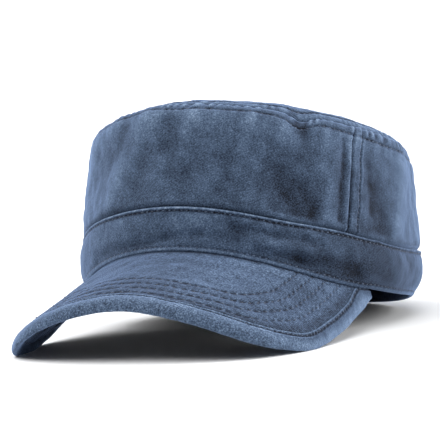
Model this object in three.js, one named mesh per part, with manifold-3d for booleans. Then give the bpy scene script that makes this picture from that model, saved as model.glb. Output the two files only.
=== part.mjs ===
// Army cap: a soft flat-topped cloth cap with a stitched band and a curved, cloth-covered visor.
// Millimetres, +Z up. The wearer's front is -Y and the wearer's left is +X.
// The cap is drawn upright, with its rim's centre at the origin, and then tipped back by TILT,
// because on a table it stands on the visor's two lobes and on the back of its rim.
import * as THREE from 'three';
import { mergeVertices } from 'three/addons/utils/BufferGeometryUtils.js';
import Module from 'manifold-3d';

const wasm = await Module();
wasm.setup();

// ---------------------------------------------------------------- driving dimensions

const TILT = THREE.MathUtils.degToRad(13.6); // how far the front is raised on the table
const FLAT_DEPTH = 0.4;                      // depth of the patches pressed flat by the table
const GAP = 0.3;                             // clearance between two sewn pieces
const CLOTH = 1.6;                           // crown wall: outer twill and its facing
const BAND_WALL = 2.2;                       // band wall: twill folded double
const TUCK = 6.0;                            // how far a crown panel runs down behind the band
const FOLD_RADIUS = 90.0;                    // mean radius that turns an angle into mm of cloth

// Outlines of the cap, each two half ellipses: half width, front half length, back half length.
const OUTLINE = {
  rim: { side: 82.4, front: 97.0, back: 92.0 },
  belly: { side: 86.6, front: 98.4, back: 100.5 },
  ridge: { side: 84.4, front: 99.4, back: 103.9 },
  shoulder: { side: 82.5, front: 98.0, back: 78.5 },
  seam: { side: 77.7, front: 87.0, back: 76.5 },
};
const BELLY_AT = 0.6; // fraction of the band's height at which the belly lies

// Heights above the rim's centre.
const BAND_HEIGHT = { front: 22.3, back: 25.6 };
// The band is wider beside the front's middle: angle and half width in degrees, rise in mm.
const RIDGE_LIFTS = [
  { at: 58.5, width: 17.0, rise: 3.2 },
  { at: -47.0, width: 20.0, rise: 2.1 },
];
const TOP_SEAM_HEIGHT = { front: 80.9, back: 83.8, side: -7.2 };
const RIM_BACK_HEIGHT = 2.2;
// The rim's lower edge lifts off the table at each side: angle in degrees, half width, rise in mm.
const RIM_LIFT = { at: 114, width: 20, rise: 1.7 };
const SHOULDER_DROP = 8.5;  // from the top seam down to where the crown starts to round over
const TOP_DOME = 4.1;       // rise of the top panel's middle
const TOP_DOME_POWER = 2.5; // how flat the middle is
const TOP_ROLL = 3.4;       // rise of the rolled border just inside the top seam
const TOP_ROLL_POWER = 14;  // how close to the seam the border rises
// The roll is fuller on the left of the front: angle and half width in degrees, rise in mm.
const ROLL_SWELL = { at: 60, width: 38, rise: 2.6 };
// Places where the top seam sags: angle and half width in degrees, drop in mm, and the power that
// says how soon it dies out inside the top panel.
const SEAM_SAGS = [
  { at: 43.5, width: 5.0, drop: 3.2, power: 20 },
  { at: -50.0, width: 26.0, drop: 2.3, power: 3 },
  { at: 108.0, width: 14.0, drop: 1.6, power: 4 },
];

// Visor: a sheet bent about a fore-and-aft axis, sloping down to the front.
const VISOR_ARCH = 5.8;          // height of its top surface at the middle of the rim
const VISOR_SLOPE = Math.tan(THREE.MathUtils.degToRad(28.8));
const VISOR_BEND = 0.00627;      // drop per mm squared away from the middle
const VISOR_CURL = 3.95;         // further drop at CURL_REACH, with the fourth power
const CURL_REACH = 80.0;
const VISOR_CONE = -0.00228;     // change of the bend for each mm forward of the rim
const VISOR_CORNER = THREE.MathUtils.degToRad(73.5); // where the visor leaves the rim
const VISOR_THICK = 5.5;
const BINDING_WIDTH = 5.0;       // of the binding's flap, seen from above
const BINDING_STEP = 0.8;        // how far the visor's faces are pressed in under the binding
const CORNER_CLEAR = 1.5;        // the visor's ends stop this far outside the rim's outline

// Outer edge of the visor, right half: half width and distance forward of the rim's centre.
const VISOR_EDGE = [
  { across: 0.0, forward: 152.0 },
  { across: 33.2, forward: 149.9 },
  { across: 63.1, forward: 134.0 },
  { across: 78.4, forward: 105.0 },
  { across: 81.2, forward: 76.0 },
  { across: 80.2, forward: 41.0 },
  { across: 80.2, forward: 26.0 },
];

// Side seams join the front panel to the two back panels, and a last seam closes the back.
const SIDE_SEAM = THREE.MathUtils.degToRad(63.4);
const SEAM_LEAN = THREE.MathUtils.degToRad(4.0); // its top lies this much further back
const SEAM_ROWS = [0.2, 3.0, 7.0];      // columns beside a seam, in mm from it
// The topstitched allowance beside a seam: its rise, its middle and its half width, in mm.
const ALLOWANCE = { rise: 0.7, middle: 3.8, width: 2.6 };
const GATHER = 0.35;                     // height of the gathers below the top seam
const GATHER_COUNT = 42;
const GATHER_FROM = 0.9;                 // share of the crown's face at which gathers start
const GATHER_REACH = 0.4;                // and the share over which they grow to full height

// Band profile: fraction of the band's height and how far the face stands out there.
const BAND_PROFILE = [
  { at: 0.0, out: -0.6 },
  { at: 0.035, out: 0.3 },
  { at: 0.125, out: 0.4 },
  { at: 0.17, out: -0.3 },
  { at: 0.4, out: 0.0 },
  { at: 0.62, out: 0.0 },
  { at: 0.82, out: 0.0 },
  { at: 0.88, out: 0.6 },
  { at: 1.0, out: 0.3 },
];

// Soft folds and dents. Each runs along a line on the cloth, from one angle (degrees from the
// front, towards +X) and height (mm) to another; width and rise (mm) give its section.
const CROWN_FOLDS = [
  { from: [-10, 42], to: [-27, 10], width: 9.0, rise: 1.8 },
  { from: [-22, 42], to: [-26, 32], width: 7.0, rise: -1.2 },
  { from: [-2, 40], to: [-4, 33], width: 8.0, rise: -1.0 },
  { from: [36, 20], to: [46, 8], width: 13.0, rise: -2.0 },
  { from: [53, 42], to: [53, 8], width: 7.0, rise: 1.3 },
  { from: [43, 49], to: [44, 45], width: 6.0, rise: -2.2 },
  { from: [27, 46], to: [40, 42], width: 6.0, rise: 0.8 },
  { from: [-45, 40], to: [-52, 12], width: 9.0, rise: 1.2 },
  { from: [75, 26], to: [77, 8], width: 8.0, rise: -1.2 },
  { from: [89, 42], to: [86, 12], width: 10.0, rise: 1.2 },
  { from: [112, 28], to: [112, 6], width: 14.0, rise: 0.9 },
  { from: [98, 52], to: [122, 52], width: 8.0, rise: -1.7 },
  { from: [138, 34], to: [146, 8], width: 12.0, rise: 1.6 },
  { from: [-68, 38], to: [-66, 24], width: 19.0, rise: 1.2 },
  { from: [-80, 30], to: [-88, 8], width: 9.0, rise: -0.4 },
  { from: [-108, 38], to: [-102, 10], width: 11.0, rise: 1.4 },
  { from: [-150, 32], to: [-136, 10], width: 12.0, rise: -1.6 },
];
const BAND_FOLDS = [
  { from: [-35, 5], to: [-9, 6], width: 4.0, rise: -0.9 },
  { from: [-1, 6], to: [20, 9], width: 4.5, rise: -1.1 },
  { from: [24, 13], to: [48, 12], width: 4.5, rise: -1.1 },
  { from: [40, 5], to: [67, 7], width: 5.0, rise: -1.5 },
  { from: [68, 13], to: [84, 12], width: 6.0, rise: 1.0 },
  { from: [108, 13], to: [128, 14], width: 8.0, rise: 1.0 },
  { from: [-70, 7], to: [-95, 11], width: 6.0, rise: -1.2 },
  { from: [150, 9], to: [-160, 11], width: 7.0, rise: 1.0 },
];
const FOLD_FADE = 5.0; // folds die out over this height above the band and below the top seam

// How finely each piece is cut into facets.
const AROUND = 84;
const TOP_AROUND = 72;
const CROWN_ROWS = [0.05, 0.2, 0.37, 0.54, 0.71, 0.87, 1.0];
const ROUND_ROWS = [0.35, 0.7, 1.0];
const TOP_RINGS = [1.0, 0.975, 0.93, 0.78, 0.5, 0.0];
const VISOR_COLUMNS = 36;
const VISOR_ROWS = [0.0, 0.14, 0.34, 0.55, 0.75];

// ---------------------------------------------------------------- form of the cap

const blend = (a, b, share) => a + (b - a) * share;
const smooth = (share) => {
  const s = THREE.MathUtils.clamp(share, 0, 1);
  return s * s * (3 - 2 * s);
};

// Point of a half-ellipse outline at an angle from the front.
function outlinePoint(outline, angle) {
  const reach = Math.cos(angle) > 0 ? outline.front : outline.back;
  return new THREE.Vector2(outline.side * Math.sin(angle), -reach * Math.cos(angle));
}

// Top surface of the visor, which also shapes the rim above it.
function visorHeight(x, y) {
  const forward = -OUTLINE.rim.front - y;
  const drop = VISOR_BEND * x * x + VISOR_CURL * (x / CURL_REACH) ** 4;
  return VISOR_ARCH - drop * (1 + VISOR_CONE * forward) - VISOR_SLOPE * forward;
}

function rimHeight(angle) {
  const turn = Math.abs(angle);
  if (turn < VISOR_CORNER) {
    const p = outlinePoint(OUTLINE.rim, angle);
    return visorHeight(p.x, p.y);
  }
  const corner = outlinePoint(OUTLINE.rim, VISOR_CORNER);
  const start = visorHeight(corner.x, corner.y);
  const level = blend(start, RIM_BACK_HEIGHT, smooth((turn - VISOR_CORNER) / (Math.PI - VISOR_CORNER)));
  return level + RIM_LIFT.rise * nearness(turn, RIM_LIFT);
}

const frontToBack = (angle) => 0.5 - 0.5 * Math.cos(angle);
function bandHeight(angle) {
  let height = blend(BAND_HEIGHT.front, BAND_HEIGHT.back, frontToBack(angle));
  for (const row of RIDGE_LIFTS) height += row.rise * nearness(angle, row);
  return height;
}

const ridgeHeight = (angle) => rimHeight(angle) + bandHeight(angle);

function topSeamHeight(angle) {
  const level = blend(TOP_SEAM_HEIGHT.front, TOP_SEAM_HEIGHT.back, frontToBack(angle));
  return level + TOP_SEAM_HEIGHT.side * Math.sin(angle) ** 2 - seamSag(angle, 1);
}

// Drop of the top panel at a share of the way from its centre to the seam.
function seamSag(angle, share) {
  let sag = 0;
  for (const row of SEAM_SAGS) sag += row.drop * share ** row.power * nearness(angle, row);
  return sag;
}

// 1 at an angle and less to either side of it, with a bell's curve.
function nearness(angle, { at, width }) {
  const beside = wrapDegrees(THREE.MathUtils.radToDeg(angle) - at) / width;
  return Math.exp(-beside * beside);
}

// Rise of the cloth at a point, from a table of folds.
function foldRise(folds, angle, height) {
  let rise = 0;
  for (const fold of folds) {
    const start = new THREE.Vector2(0, fold.from[1]);
    const sweep = wrapDegrees(fold.to[0] - fold.from[0]);
    const end = new THREE.Vector2(THREE.MathUtils.degToRad(sweep) * FOLD_RADIUS, fold.to[1]);
    const along = wrapDegrees(THREE.MathUtils.radToDeg(angle) - fold.from[0]);
    const here = new THREE.Vector2(THREE.MathUtils.degToRad(along) * FOLD_RADIUS, height);
    const line = end.clone().sub(start);
    const share = THREE.MathUtils.clamp(here.clone().sub(start).dot(line) / line.lengthSq(), 0, 1);
    const distance = here.distanceTo(start.addScaledVector(line, share));
    rise += fold.rise * Math.exp(-((distance / fold.width) ** 2));
  }
  return rise;
}

function wrapDegrees(turn) {
  return THREE.MathUtils.euclideanModulo(turn + 180, 360) - 180;
}

// Outer face of the band: share 0 is the rim's lower edge and share 1 the ridge above it.
function bandPoint(angle, share) {
  const low = outlinePoint(OUTLINE.rim, angle);
  const middle = outlinePoint(OUTLINE.belly, angle);
  const high = outlinePoint(OUTLINE.ridge, angle);
  const weights = [
    ((share - BELLY_AT) * (share - 1)) / BELLY_AT,
    (share * (share - 1)) / (BELLY_AT * (BELLY_AT - 1)),
    (share * (share - BELLY_AT)) / (1 - BELLY_AT),
  ];
  const plan = low.multiplyScalar(weights[0]);
  plan.addScaledVector(middle, weights[1]).addScaledVector(high, weights[2]);
  return new THREE.Vector3(plan.x, plan.y, rimHeight(angle) + share * bandHeight(angle));
}

// Outer face of the crown: share 0 is the band's ridge, 1 the shoulder, and 1 to 2 rounds over.
function crownPoint(angle, share) {
  const foot = outlinePoint(OUTLINE.ridge, angle);
  const shoulder = outlinePoint(OUTLINE.shoulder, angle);
  const seam = outlinePoint(OUTLINE.seam, angle);
  const shoulderHeight = topSeamHeight(angle) - SHOULDER_DROP;
  if (share <= 1) {
    const plan = foot.lerp(shoulder, share);
    return new THREE.Vector3(plan.x, plan.y, blend(ridgeHeight(angle), shoulderHeight, share));
  }
  const turn = ((share - 1) * Math.PI) / 2;
  const plan = shoulder.lerp(seam, 1 - Math.cos(turn));
  return new THREE.Vector3(plan.x, plan.y, shoulderHeight + SHOULDER_DROP * Math.sin(turn));
}

// The side seams lean back as they rise, and the cloth on both sides leans with them.
function leaned(angle, share) {
  const turn = Math.abs(angle);
  const fade = turn < SIDE_SEAM ? turn / SIDE_SEAM : (Math.PI - turn) / (Math.PI - SIDE_SEAM);
  const height = THREE.MathUtils.clamp(share / 2, 0, 1) - 0.5;
  return angle + Math.sign(angle) * SEAM_LEAN * height * fade;
}

// Moves a point of a surface out along the surface's normal.
function standOut(surface, angle, share, distance) {
  const step = 0.002;
  const here = surface(angle, share);
  const around = surface(angle + step, share).sub(surface(angle - step, share));
  const up = surface(angle, share + step).sub(surface(angle, share - step));
  return here.addScaledVector(around.cross(up).normalize(), distance);
}

const leanedCrown = (angle, share) => crownPoint(leaned(angle, share), share);

function bandFace(angle, share, out) {
  const height = share * bandHeight(angle);
  const rise = foldRise(BAND_FOLDS, angle, height) * smooth(height / FOLD_FADE);
  return standOut(bandPoint, angle, share, out + rise);
}

// Height of the crown's folds, seam allowances and gathers at a point.
function crownRelief(angle, share) {
  const place = leaned(angle, share);
  const height = leanedCrown(angle, share).z - ridgeHeight(place);
  const below = topSeamHeight(place) - ridgeHeight(place) - height;
  const fade = smooth(height / FOLD_FADE) * smooth(below / FOLD_FADE);
  const folds = foldRise(CROWN_FOLDS, place, height) * fade;
  const seams = [SIDE_SEAM, -SIDE_SEAM, Math.PI, -Math.PI];
  const reach = Math.min(...seams.map((seam) => Math.abs(angle - seam))) * FOLD_RADIUS;
  const beside = (reach - ALLOWANCE.middle) / ALLOWANCE.width;
  const allowance = ALLOWANCE.rise * Math.exp(-beside * beside);
  const gathers = GATHER * Math.cos(GATHER_COUNT * angle);
  const grown = smooth((share - GATHER_FROM) / GATHER_REACH) * smooth(below / (0.4 * FOLD_FADE));
  return folds + allowance + gathers * grown;
}

// ---------------------------------------------------------------- building closed pieces

// Closes two matching grids of points, an outer and an inner one, into one body.
// Each grid is a list of columns of points. A ring joins its last column to its first.
function shell(outer, inner, isRing) {
  const columns = outer.length;
  const rows = outer[0].length;
  const points = [...outer.flat(), ...inner.flat()];
  const at = (side, i, j) => side * columns * rows + (i % columns) * rows + j;
  const triangles = [];
  const quad = (a, b, c, d) => triangles.push(a, b, c, a, c, d);
  const spans = isRing ? columns : columns - 1;
  for (let i = 0; i < spans; i += 1) {
    for (let j = 0; j < rows - 1; j += 1) {
      quad(at(0, i, j), at(0, i + 1, j), at(0, i + 1, j + 1), at(0, i, j + 1));
      quad(at(1, i, j), at(1, i, j + 1), at(1, i + 1, j + 1), at(1, i + 1, j));
    }
    quad(at(0, i + 1, 0), at(0, i, 0), at(1, i, 0), at(1, i + 1, 0));
    quad(at(0, i, rows - 1), at(0, i + 1, rows - 1), at(1, i + 1, rows - 1), at(1, i, rows - 1));
  }
  if (!isRing) {
    const last = columns - 1;
    for (let j = 0; j < rows - 1; j += 1) {
      quad(at(0, 0, j), at(0, 0, j + 1), at(1, 0, j + 1), at(1, 0, j));
      quad(at(0, last, j + 1), at(0, last, j), at(1, last, j), at(1, last, j + 1));
    }
  }
  return weld(points, triangles);
}

// Merges points that coincide and drops the triangles that this closes up.
function weld(points, triangles) {
  const raw = new THREE.BufferGeometry().setFromPoints(points);
  raw.setIndex(triangles);
  const merged = mergeVertices(raw, 1e-4);
  const index = merged.index.array;
  const kept = [];
  for (let k = 0; k < index.length; k += 3) {
    const [a, b, c] = index.slice(k, k + 3);
    if (a !== b && b !== c && c !== a) kept.push(a, b, c);
  }
  merged.setIndex(kept);
  return merged;
}

function toManifold(geometry) {
  const vertProperties = new Float32Array(geometry.getAttribute('position').array);
  const triVerts = new Uint32Array(geometry.index.array);
  return new wasm.Manifold(new wasm.Mesh({ numProp: 3, vertProperties, triVerts }));
}

function fromManifold(manifold) {
  const mesh = manifold.getMesh();
  const geometry = new THREE.BufferGeometry();
  geometry.setAttribute('position', new THREE.BufferAttribute(mesh.vertProperties.slice(), 3));
  geometry.setIndex([...mesh.triVerts]);
  return geometry;
}

// Columns of a crown panel between two seams, closer together beside each seam.
function panelAngles(start, end) {
  const besides = SEAM_ROWS.map((reach) => reach / FOLD_RADIUS);
  const step = (2 * Math.PI) / AROUND;
  const reach = besides[besides.length - 1] + 0.4 * step;
  const inside = [];
  for (let k = -AROUND; k <= AROUND; k += 1) {
    const angle = k * step;
    if (angle > start + reach && angle < end - reach) inside.push(angle);
  }
  return [...besides.map((b) => start + b), ...inside, ...besides.reverse().map((b) => end - b)];
}

// ---------------------------------------------------------------- the pieces

// Band: a ring of doubled twill, with a stitched lip below and a folded ridge above.
function makeBand() {
  const outer = [];
  const inner = [];
  for (let i = 0; i < AROUND; i += 1) {
    const angle = (i * 2 * Math.PI) / AROUND;
    const turn = angle > Math.PI ? angle - 2 * Math.PI : angle;
    outer.push(BAND_PROFILE.map((row) => bandFace(turn, row.at, row.out)));
    inner.push(BAND_PROFILE.map((row) => bandFace(turn, row.at, -BAND_WALL)));
    liftOffVisor(outer[i][0], turn);
    liftOffVisor(inner[i][0], turn);
  }
  return shell(outer, inner, true);
}

// Over the visor the band's lower edge lies on the visor's top surface.
function liftOffVisor(point, angle) {
  if (Math.abs(angle) < VISOR_CORNER) point.z = visorHeight(point.x, point.y) + GAP;
}

// Crown panel: tucked behind the band, straight up to the shoulder, rounded over to the seam.
function makePanel(start, end) {
  const outer = [];
  const inner = [];
  const behind = BAND_WALL + GAP;
  for (const angle of panelAngles(start, end)) {
    const low = 1 - TUCK / bandHeight(angle);
    const tucked = [low, 1 - 0.4 / bandHeight(angle)];
    const shares = [...CROWN_ROWS, ...ROUND_ROWS.map((share) => 1 + share)];
    const face = shares.map((share) => ({ share, rise: crownRelief(angle, share) }));
    const side = (depth) => {
      const foot = bandFace(leaned(angle, 0), 1, -behind - depth);
      foot.z += 2 * GAP;
      return [
        ...tucked.map((share) => bandFace(leaned(angle, 0), share, -behind - depth)),
        foot,
        ...face.map(({ share, rise }) => standOut(leanedCrown, angle, share, rise - depth)),
      ];
    };
    outer.push(side(0));
    inner.push(side(CLOTH));
  }
  return shell(outer, inner, false);
}

// Top panel: a shallow dome with a rolled border, its edge facing the crown's upper edge.
function makeTop() {
  const level = 0.5 * (TOP_SEAM_HEIGHT.front + TOP_SEAM_HEIGHT.back);
  const border = (angle) => standOut(crownPoint, angle, 2, 0);
  const centre = new THREE.Vector3(0, 0.5 * (OUTLINE.seam.back - OUTLINE.seam.front), level);
  const point = (angle, share) => {
    const place = centre.clone().lerp(border(angle), share * (1 - (1.5 * GAP) / OUTLINE.seam.side));
    const roll = TOP_ROLL + ROLL_SWELL.rise * share ** 2 * nearness(angle, ROLL_SWELL);
    place.z += TOP_DOME * (1 - share ** TOP_DOME_POWER) + roll * (1 - share ** TOP_ROLL_POWER);
    place.z += share * seamSag(angle, 1) - seamSag(angle, share);
    return place;
  };
  const outer = [];
  const inner = [];
  for (let i = 0; i < TOP_AROUND; i += 1) {
    const angle = (i * 2 * Math.PI) / TOP_AROUND;
    const column = TOP_RINGS.map((share) => point(angle, share));
    outer.push(column);
    inner.push(column.map((p) => p.clone().setZ(p.z - CLOTH)));
  }
  return shell(outer, inner, true);
}

// The visor's outer edge as a smooth curve in plan, from the right corner round to the left.
function visorEdge() {
  const right = VISOR_EDGE.map((row) => new THREE.Vector3(row.across, -row.forward, 0));
  const left = right.slice(1).map((p) => new THREE.Vector3(-p.x, p.y, 0));
  return new THREE.CatmullRomCurve3([...right.reverse(), ...left], false, 'centripetal');
}

// Columns of the visor: the edge point, the direction inward from it and the rim's angle.
function visorColumns() {
  const curve = visorEdge();
  const rimDistance = (p) => {
    const scaled = Math.hypot(p.x / OUTLINE.rim.side, p.y / OUTLINE.rim.front);
    return (1 - 1 / scaled) * Math.hypot(p.x, p.y);
  };
  let first = 0;
  while (rimDistance(curve.getPointAt(first)) < CORNER_CLEAR) first += 0.001;
  const rimAngle = (p) => Math.atan2(p.x / OUTLINE.rim.side, -p.y / OUTLINE.rim.front);
  const lastAngle = rimAngle(curve.getPointAt(first));
  const columns = [];
  for (let i = 0; i <= VISOR_COLUMNS; i += 1) {
    const share = i / VISOR_COLUMNS;
    const along = blend(first, 1 - first, share);
    const edge = curve.getPointAt(along);
    const tangent = curve.getTangentAt(along);
    const inward = new THREE.Vector3(tangent.y, -tangent.x, 0);
    if (inward.dot(edge) > 0) inward.negate();
    const room = (rimDistance(edge) - GAP) / BINDING_WIDTH;
    const squeeze = THREE.MathUtils.clamp(room, 0.2, 1);
    columns.push({ edge, inward, squeeze, angle: blend(lastAngle, -lastAngle, share) });
  }
  return columns;
}

function onVisor(edge, inward, distance, offset) {
  const p = edge.clone().addScaledVector(inward, distance);
  p.z = visorHeight(p.x, p.y) + offset;
  return p;
}

// Visor: a stiff sheet covered in twill, thinned at its edge where the binding grips it.
function makeVisor() {
  const steps = [
    { inset: BINDING_WIDTH + 0.6, press: 0 },
    { inset: BINDING_WIDTH + 0.2, press: BINDING_STEP },
    { inset: 3.4, press: BINDING_STEP },
    { inset: 1.6, press: 2 * BINDING_STEP },
  ];
  const outer = [];
  const inner = [];
  for (const { edge, inward, squeeze, angle } of visorColumns()) {
    const rim = outlinePoint(OUTLINE.rim, angle);
    const root = new THREE.Vector3(rim.x, rim.y, 0);
    root.multiplyScalar(1 - BAND_WALL / root.length());
    const grip = edge.clone().addScaledVector(inward, steps[0].inset * squeeze);
    const tops = [];
    const bottoms = [];
    for (const share of VISOR_ROWS) {
      const p = root.clone().lerp(grip, share / 0.9);
      p.z = visorHeight(p.x, p.y);
      tops.push(p);
      bottoms.push(p.clone().setZ(p.z - VISOR_THICK));
    }
    for (const { inset, press } of steps) {
      tops.push(onVisor(edge, inward, inset * squeeze, -press));
      bottoms.push(onVisor(edge, inward, inset * squeeze, press - VISOR_THICK));
    }
    outer.push(tops);
    inner.push(bottoms);
  }
  return shell(outer, inner, false);
}

// Binding: a bias strip folded round the visor's edge, with a flap above and one below.
const BINDING_SECTION = [
  // distance in from the edge and height over the visor's top surface: outer face, inner face
  { outer: [BINDING_WIDTH, 0.35], inner: [BINDING_WIDTH, -0.5] },
  { outer: [2.6, 0.5], inner: [2.9, -0.5] },
  { outer: [0.9, -0.1], inner: [1.6, -1.0] },
  { outer: [0.0, -1.7], inner: [1.1, -2.0] },
  { outer: [0.0, -4.2], inner: [1.1, -3.8] },
  { outer: [0.9, -5.8], inner: [1.6, -4.8] },
  { outer: [2.6, -6.2], inner: [2.9, -5.2] },
  { outer: [BINDING_WIDTH, -6.2], inner: [BINDING_WIDTH, -5.2] },
];

function makeBinding() {
  const outer = [];
  const inner = [];
  for (const { edge, inward, squeeze } of visorColumns()) {
    const place = ([distance, height]) => onVisor(edge, inward, distance * squeeze, height);
    outer.push(BINDING_SECTION.map((row) => place(row.outer)));
    inner.push(BINDING_SECTION.map((row) => place(row.inner)));
  }
  return shell(outer, inner, false);
}

// ---------------------------------------------------------------- seating on the table

const cap = new THREE.Group();
cap.rotation.x = -TILT;

const FOREVER = 600;

// Cuts away what lies below a level, as the table presses the cloth flat.
function pressFlat(geometry, level) {
  cap.updateMatrix();
  const block = new THREE.BoxGeometry(FOREVER, FOREVER, FOREVER);
  block.deleteAttribute('normal');
  block.deleteAttribute('uv');
  block.translate(0, 0, level - FOREVER / 2);
  block.applyMatrix4(cap.matrix.clone().invert());
  return fromManifold(toManifold(geometry).subtract(toManifold(mergeVertices(block))));
}

function tippedBox(geometry) {
  cap.updateMatrix();
  return new THREE.Box3().setFromBufferAttribute(
    geometry.clone().applyMatrix4(cap.matrix).getAttribute('position'),
  );
}

const shapes = {
  band: makeBand(),
  front_panel: makePanel(-SIDE_SEAM, SIDE_SEAM),
  back_panel_left: makePanel(SIDE_SEAM, Math.PI),
  back_panel_right: makePanel(-Math.PI, -SIDE_SEAM),
  top_panel: makeTop(),
  visor: makeVisor(),
  visor_binding: makeBinding(),
};

const bandFoot = tippedBox(shapes.band).min.z;
const lobeFoot = tippedBox(shapes.visor_binding).min.z;
const tableLevel = Math.max(bandFoot, lobeFoot) + FLAT_DEPTH;
shapes.band = pressFlat(shapes.band, tableLevel);
shapes.visor_binding = pressFlat(shapes.visor_binding, tableLevel);

// ---------------------------------------------------------------- materials and scene graph

const FINISH = {
  band: { color: 0x4c6181, roughness: 0.95 },
  front_panel: { color: 0x4a5f80, roughness: 0.95 },
  back_panel_left: { color: 0x506688, roughness: 0.95 },
  back_panel_right: { color: 0x506688, roughness: 0.95 },
  top_panel: { color: 0x4f6588, roughness: 0.95 },
  visor: { color: 0x526a8c, roughness: 0.93 },
  visor_binding: { color: 0x5b7496, roughness: 0.9 },
};

const extent = new THREE.Box3();
for (const [name, geometry] of Object.entries(shapes)) {
  geometry.computeVertexNormals();
  const material = new THREE.MeshStandardMaterial({ ...FINISH[name], metalness: 0 });
  const mesh = new THREE.Mesh(geometry, material);
  mesh.name = name;
  cap.add(mesh);
  extent.union(tippedBox(geometry));
}

const part = new THREE.Group();
cap.position.set(0, -0.5 * (extent.min.y + extent.max.y), -tableLevel);
part.add(cap);

export default part;
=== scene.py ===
"""Army cap in washed cotton twill: flat top, side panels, doubled band and bound visor.

Shapes are worked out in millimetres in the cap's own frame: the rim's centre is the origin and the
cap is upright. Angles run round it from the front, -Y, towards +X, the wearer's left. seat() then
tips the cap back onto the table and gives metres in the row frame.
"""

import bpy
import numpy as np
from mathutils import Matrix, Vector


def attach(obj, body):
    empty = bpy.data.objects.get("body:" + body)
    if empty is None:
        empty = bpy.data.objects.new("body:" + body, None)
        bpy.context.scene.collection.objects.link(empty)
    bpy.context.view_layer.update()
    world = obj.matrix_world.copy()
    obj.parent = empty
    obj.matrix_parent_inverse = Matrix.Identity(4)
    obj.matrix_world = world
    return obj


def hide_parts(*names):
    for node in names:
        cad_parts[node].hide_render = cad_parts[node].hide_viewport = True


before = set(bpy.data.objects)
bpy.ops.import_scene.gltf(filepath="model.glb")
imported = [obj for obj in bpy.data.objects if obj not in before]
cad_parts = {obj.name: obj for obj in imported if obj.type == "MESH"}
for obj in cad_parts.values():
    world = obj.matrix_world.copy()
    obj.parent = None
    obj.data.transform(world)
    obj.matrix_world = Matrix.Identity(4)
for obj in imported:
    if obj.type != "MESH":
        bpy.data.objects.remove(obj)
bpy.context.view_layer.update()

# ------------------------------------------------------------------ sizes of the cap, in mm

TILT = np.radians(13.6)  # how far the front is raised on the table
SEAT = np.array([0.0, 23.5602, 18.6484])  # where the rim's centre stands, once tipped
GAP = 0.3  # clearance between two sewn pieces
CLOTH = 1.6  # crown wall: outer twill and its facing
BAND_WALL = 2.2  # band wall: twill folded double
TUCK = 6.0  # how far a crown panel runs down behind the band
FOLD_RADIUS = 90.0  # mean radius that turns an angle into mm of cloth

# Outlines of the cap, each two half ellipses: half width, front half length, back half length.
OUTLINE = {
    "rim": (82.4, 97.0, 92.0),
    "belly": (86.6, 98.4, 100.5),
    "ridge": (84.4, 99.4, 103.9),
    "shoulder": (82.5, 98.0, 78.5),
    "seam": (77.7, 87.0, 76.5),
}
BELLY_AT = 0.6  # share of the band's height at which the belly lies
BAND_HEIGHT = (22.3, 25.6)  # front, back
TOP_SEAM_HEIGHT = (80.9, 83.8, -7.2)  # front, back, change at the sides
RIM_BACK_HEIGHT = 2.2  # of the rim itself, behind
SHOULDER_DROP = 8.5  # from the top seam down to where the crown starts to round over
TOP_DOME = (4.1, 2.5)  # rise of the top's middle, and its power
TOP_ROLL = (3.4, 14)  # rise of the border just inside the seam, and its power
# Swells of a height: angle in degrees, half width in degrees, rise in mm.
RIDGE_LIFTS = [(58.5, 17.0, 3.2), (-47.0, 20.0, 2.1)]
RIM_LIFT = (114, 20, 1.7)
ROLL_SWELL = (60, 38, 2.6)
# Sags of the top seam: the same, and the power with which the sag reaches into the top panel.
SEAM_SAGS = [(43.5, 5.0, 3.2, 20), (-50.0, 26.0, 2.3, 3), (108.0, 14.0, 1.6, 4)]

VISOR_ARCH = 5.8  # height of the visor's top at the middle of the rim
VISOR_SLOPE = np.tan(np.radians(28.8))
VISOR_BEND = 0.00627  # drop per mm squared away from the middle
VISOR_CURL = 3.95  # further drop at CURL_REACH, with the fourth power
CURL_REACH = 80.0
VISOR_CONE = -0.00228  # change of the drop for each mm forward of the rim
VISOR_CORNER = np.radians(73.5)  # where the visor leaves the rim
VISOR_THICK = 5.5
BINDING_STEP = 0.8  # drop of the visor's top under the binding, and again at its very edge
CORNER_CLEAR = 1.5  # the visor's ends stop this far outside the rim's outline
# Outer edge of the visor, left half: half width, distance forward of the rim's centre.
VISOR_EDGE = [
    (0.0, 152.0), (33.2, 149.9), (63.1, 134.0), (78.4, 105.0), (81.2, 76.0), (80.2, 41.0),
    (80.2, 26.0),
]

SIDE_SEAM = 63.4  # degrees from the front
SEAM_LEAN = 4.0  # its top lies this many degrees further back
SEAM_GAP = 0.2  # from a seam's middle to the cloth on each side
SEAM_STRIP = 6.2  # width of the felled strip behind a side seam
TOP_STRIP = 9.0  # from the top seam down to the crown's topstitching
LID_STRIP = 6.0  # from the top seam in to the top panel's topstitching
ALLOWANCE_ROWS = (6.0, 4.2, 2.4, 0.8)  # the top panel's seam edge, inside and down from the seam
ALLOWANCE_WALL = 0.9
ALLOWANCE_DEPTH = 1.1  # clearance between that edge and the crown's inner face
RIDGE_STITCH = 1.9  # from the band's upper edge down to its topstitching
LIP_STITCH = 2.6  # from the band's lower edge up to its topstitching
VISOR_ROWS = (9.2, 14.0, 18.8, 24.0)  # rows of visor stitching, in from the outer edge
FLAP_STITCH = 2.0  # from the binding's inner edge out to its stitching, along the cloth
FLAP_WIDTH = (6.2, 3.2, 5.0)  # of the binding's upper flap: in front, at the corners, at its ends
UNDER_BAND = 1.2  # how far the binding's flaps may run in under the band's edge

# How much deeper than in front the visor's edge rolls down at its sides. The right side's roll is
# full at its front corner and thin behind it. Places are in mm along the edge from the middle.
LEFT_ROLL = -0.2
RIGHT_ROLL = {"at": 108, "width": 30, "swell": 0.42, "thin_from": 132, "thinner": 0.35}
TIP_ROLL = {"at": 105, "width": 15, "inward": 4.4}  # fatter low down, where the right lobe stands

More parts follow.
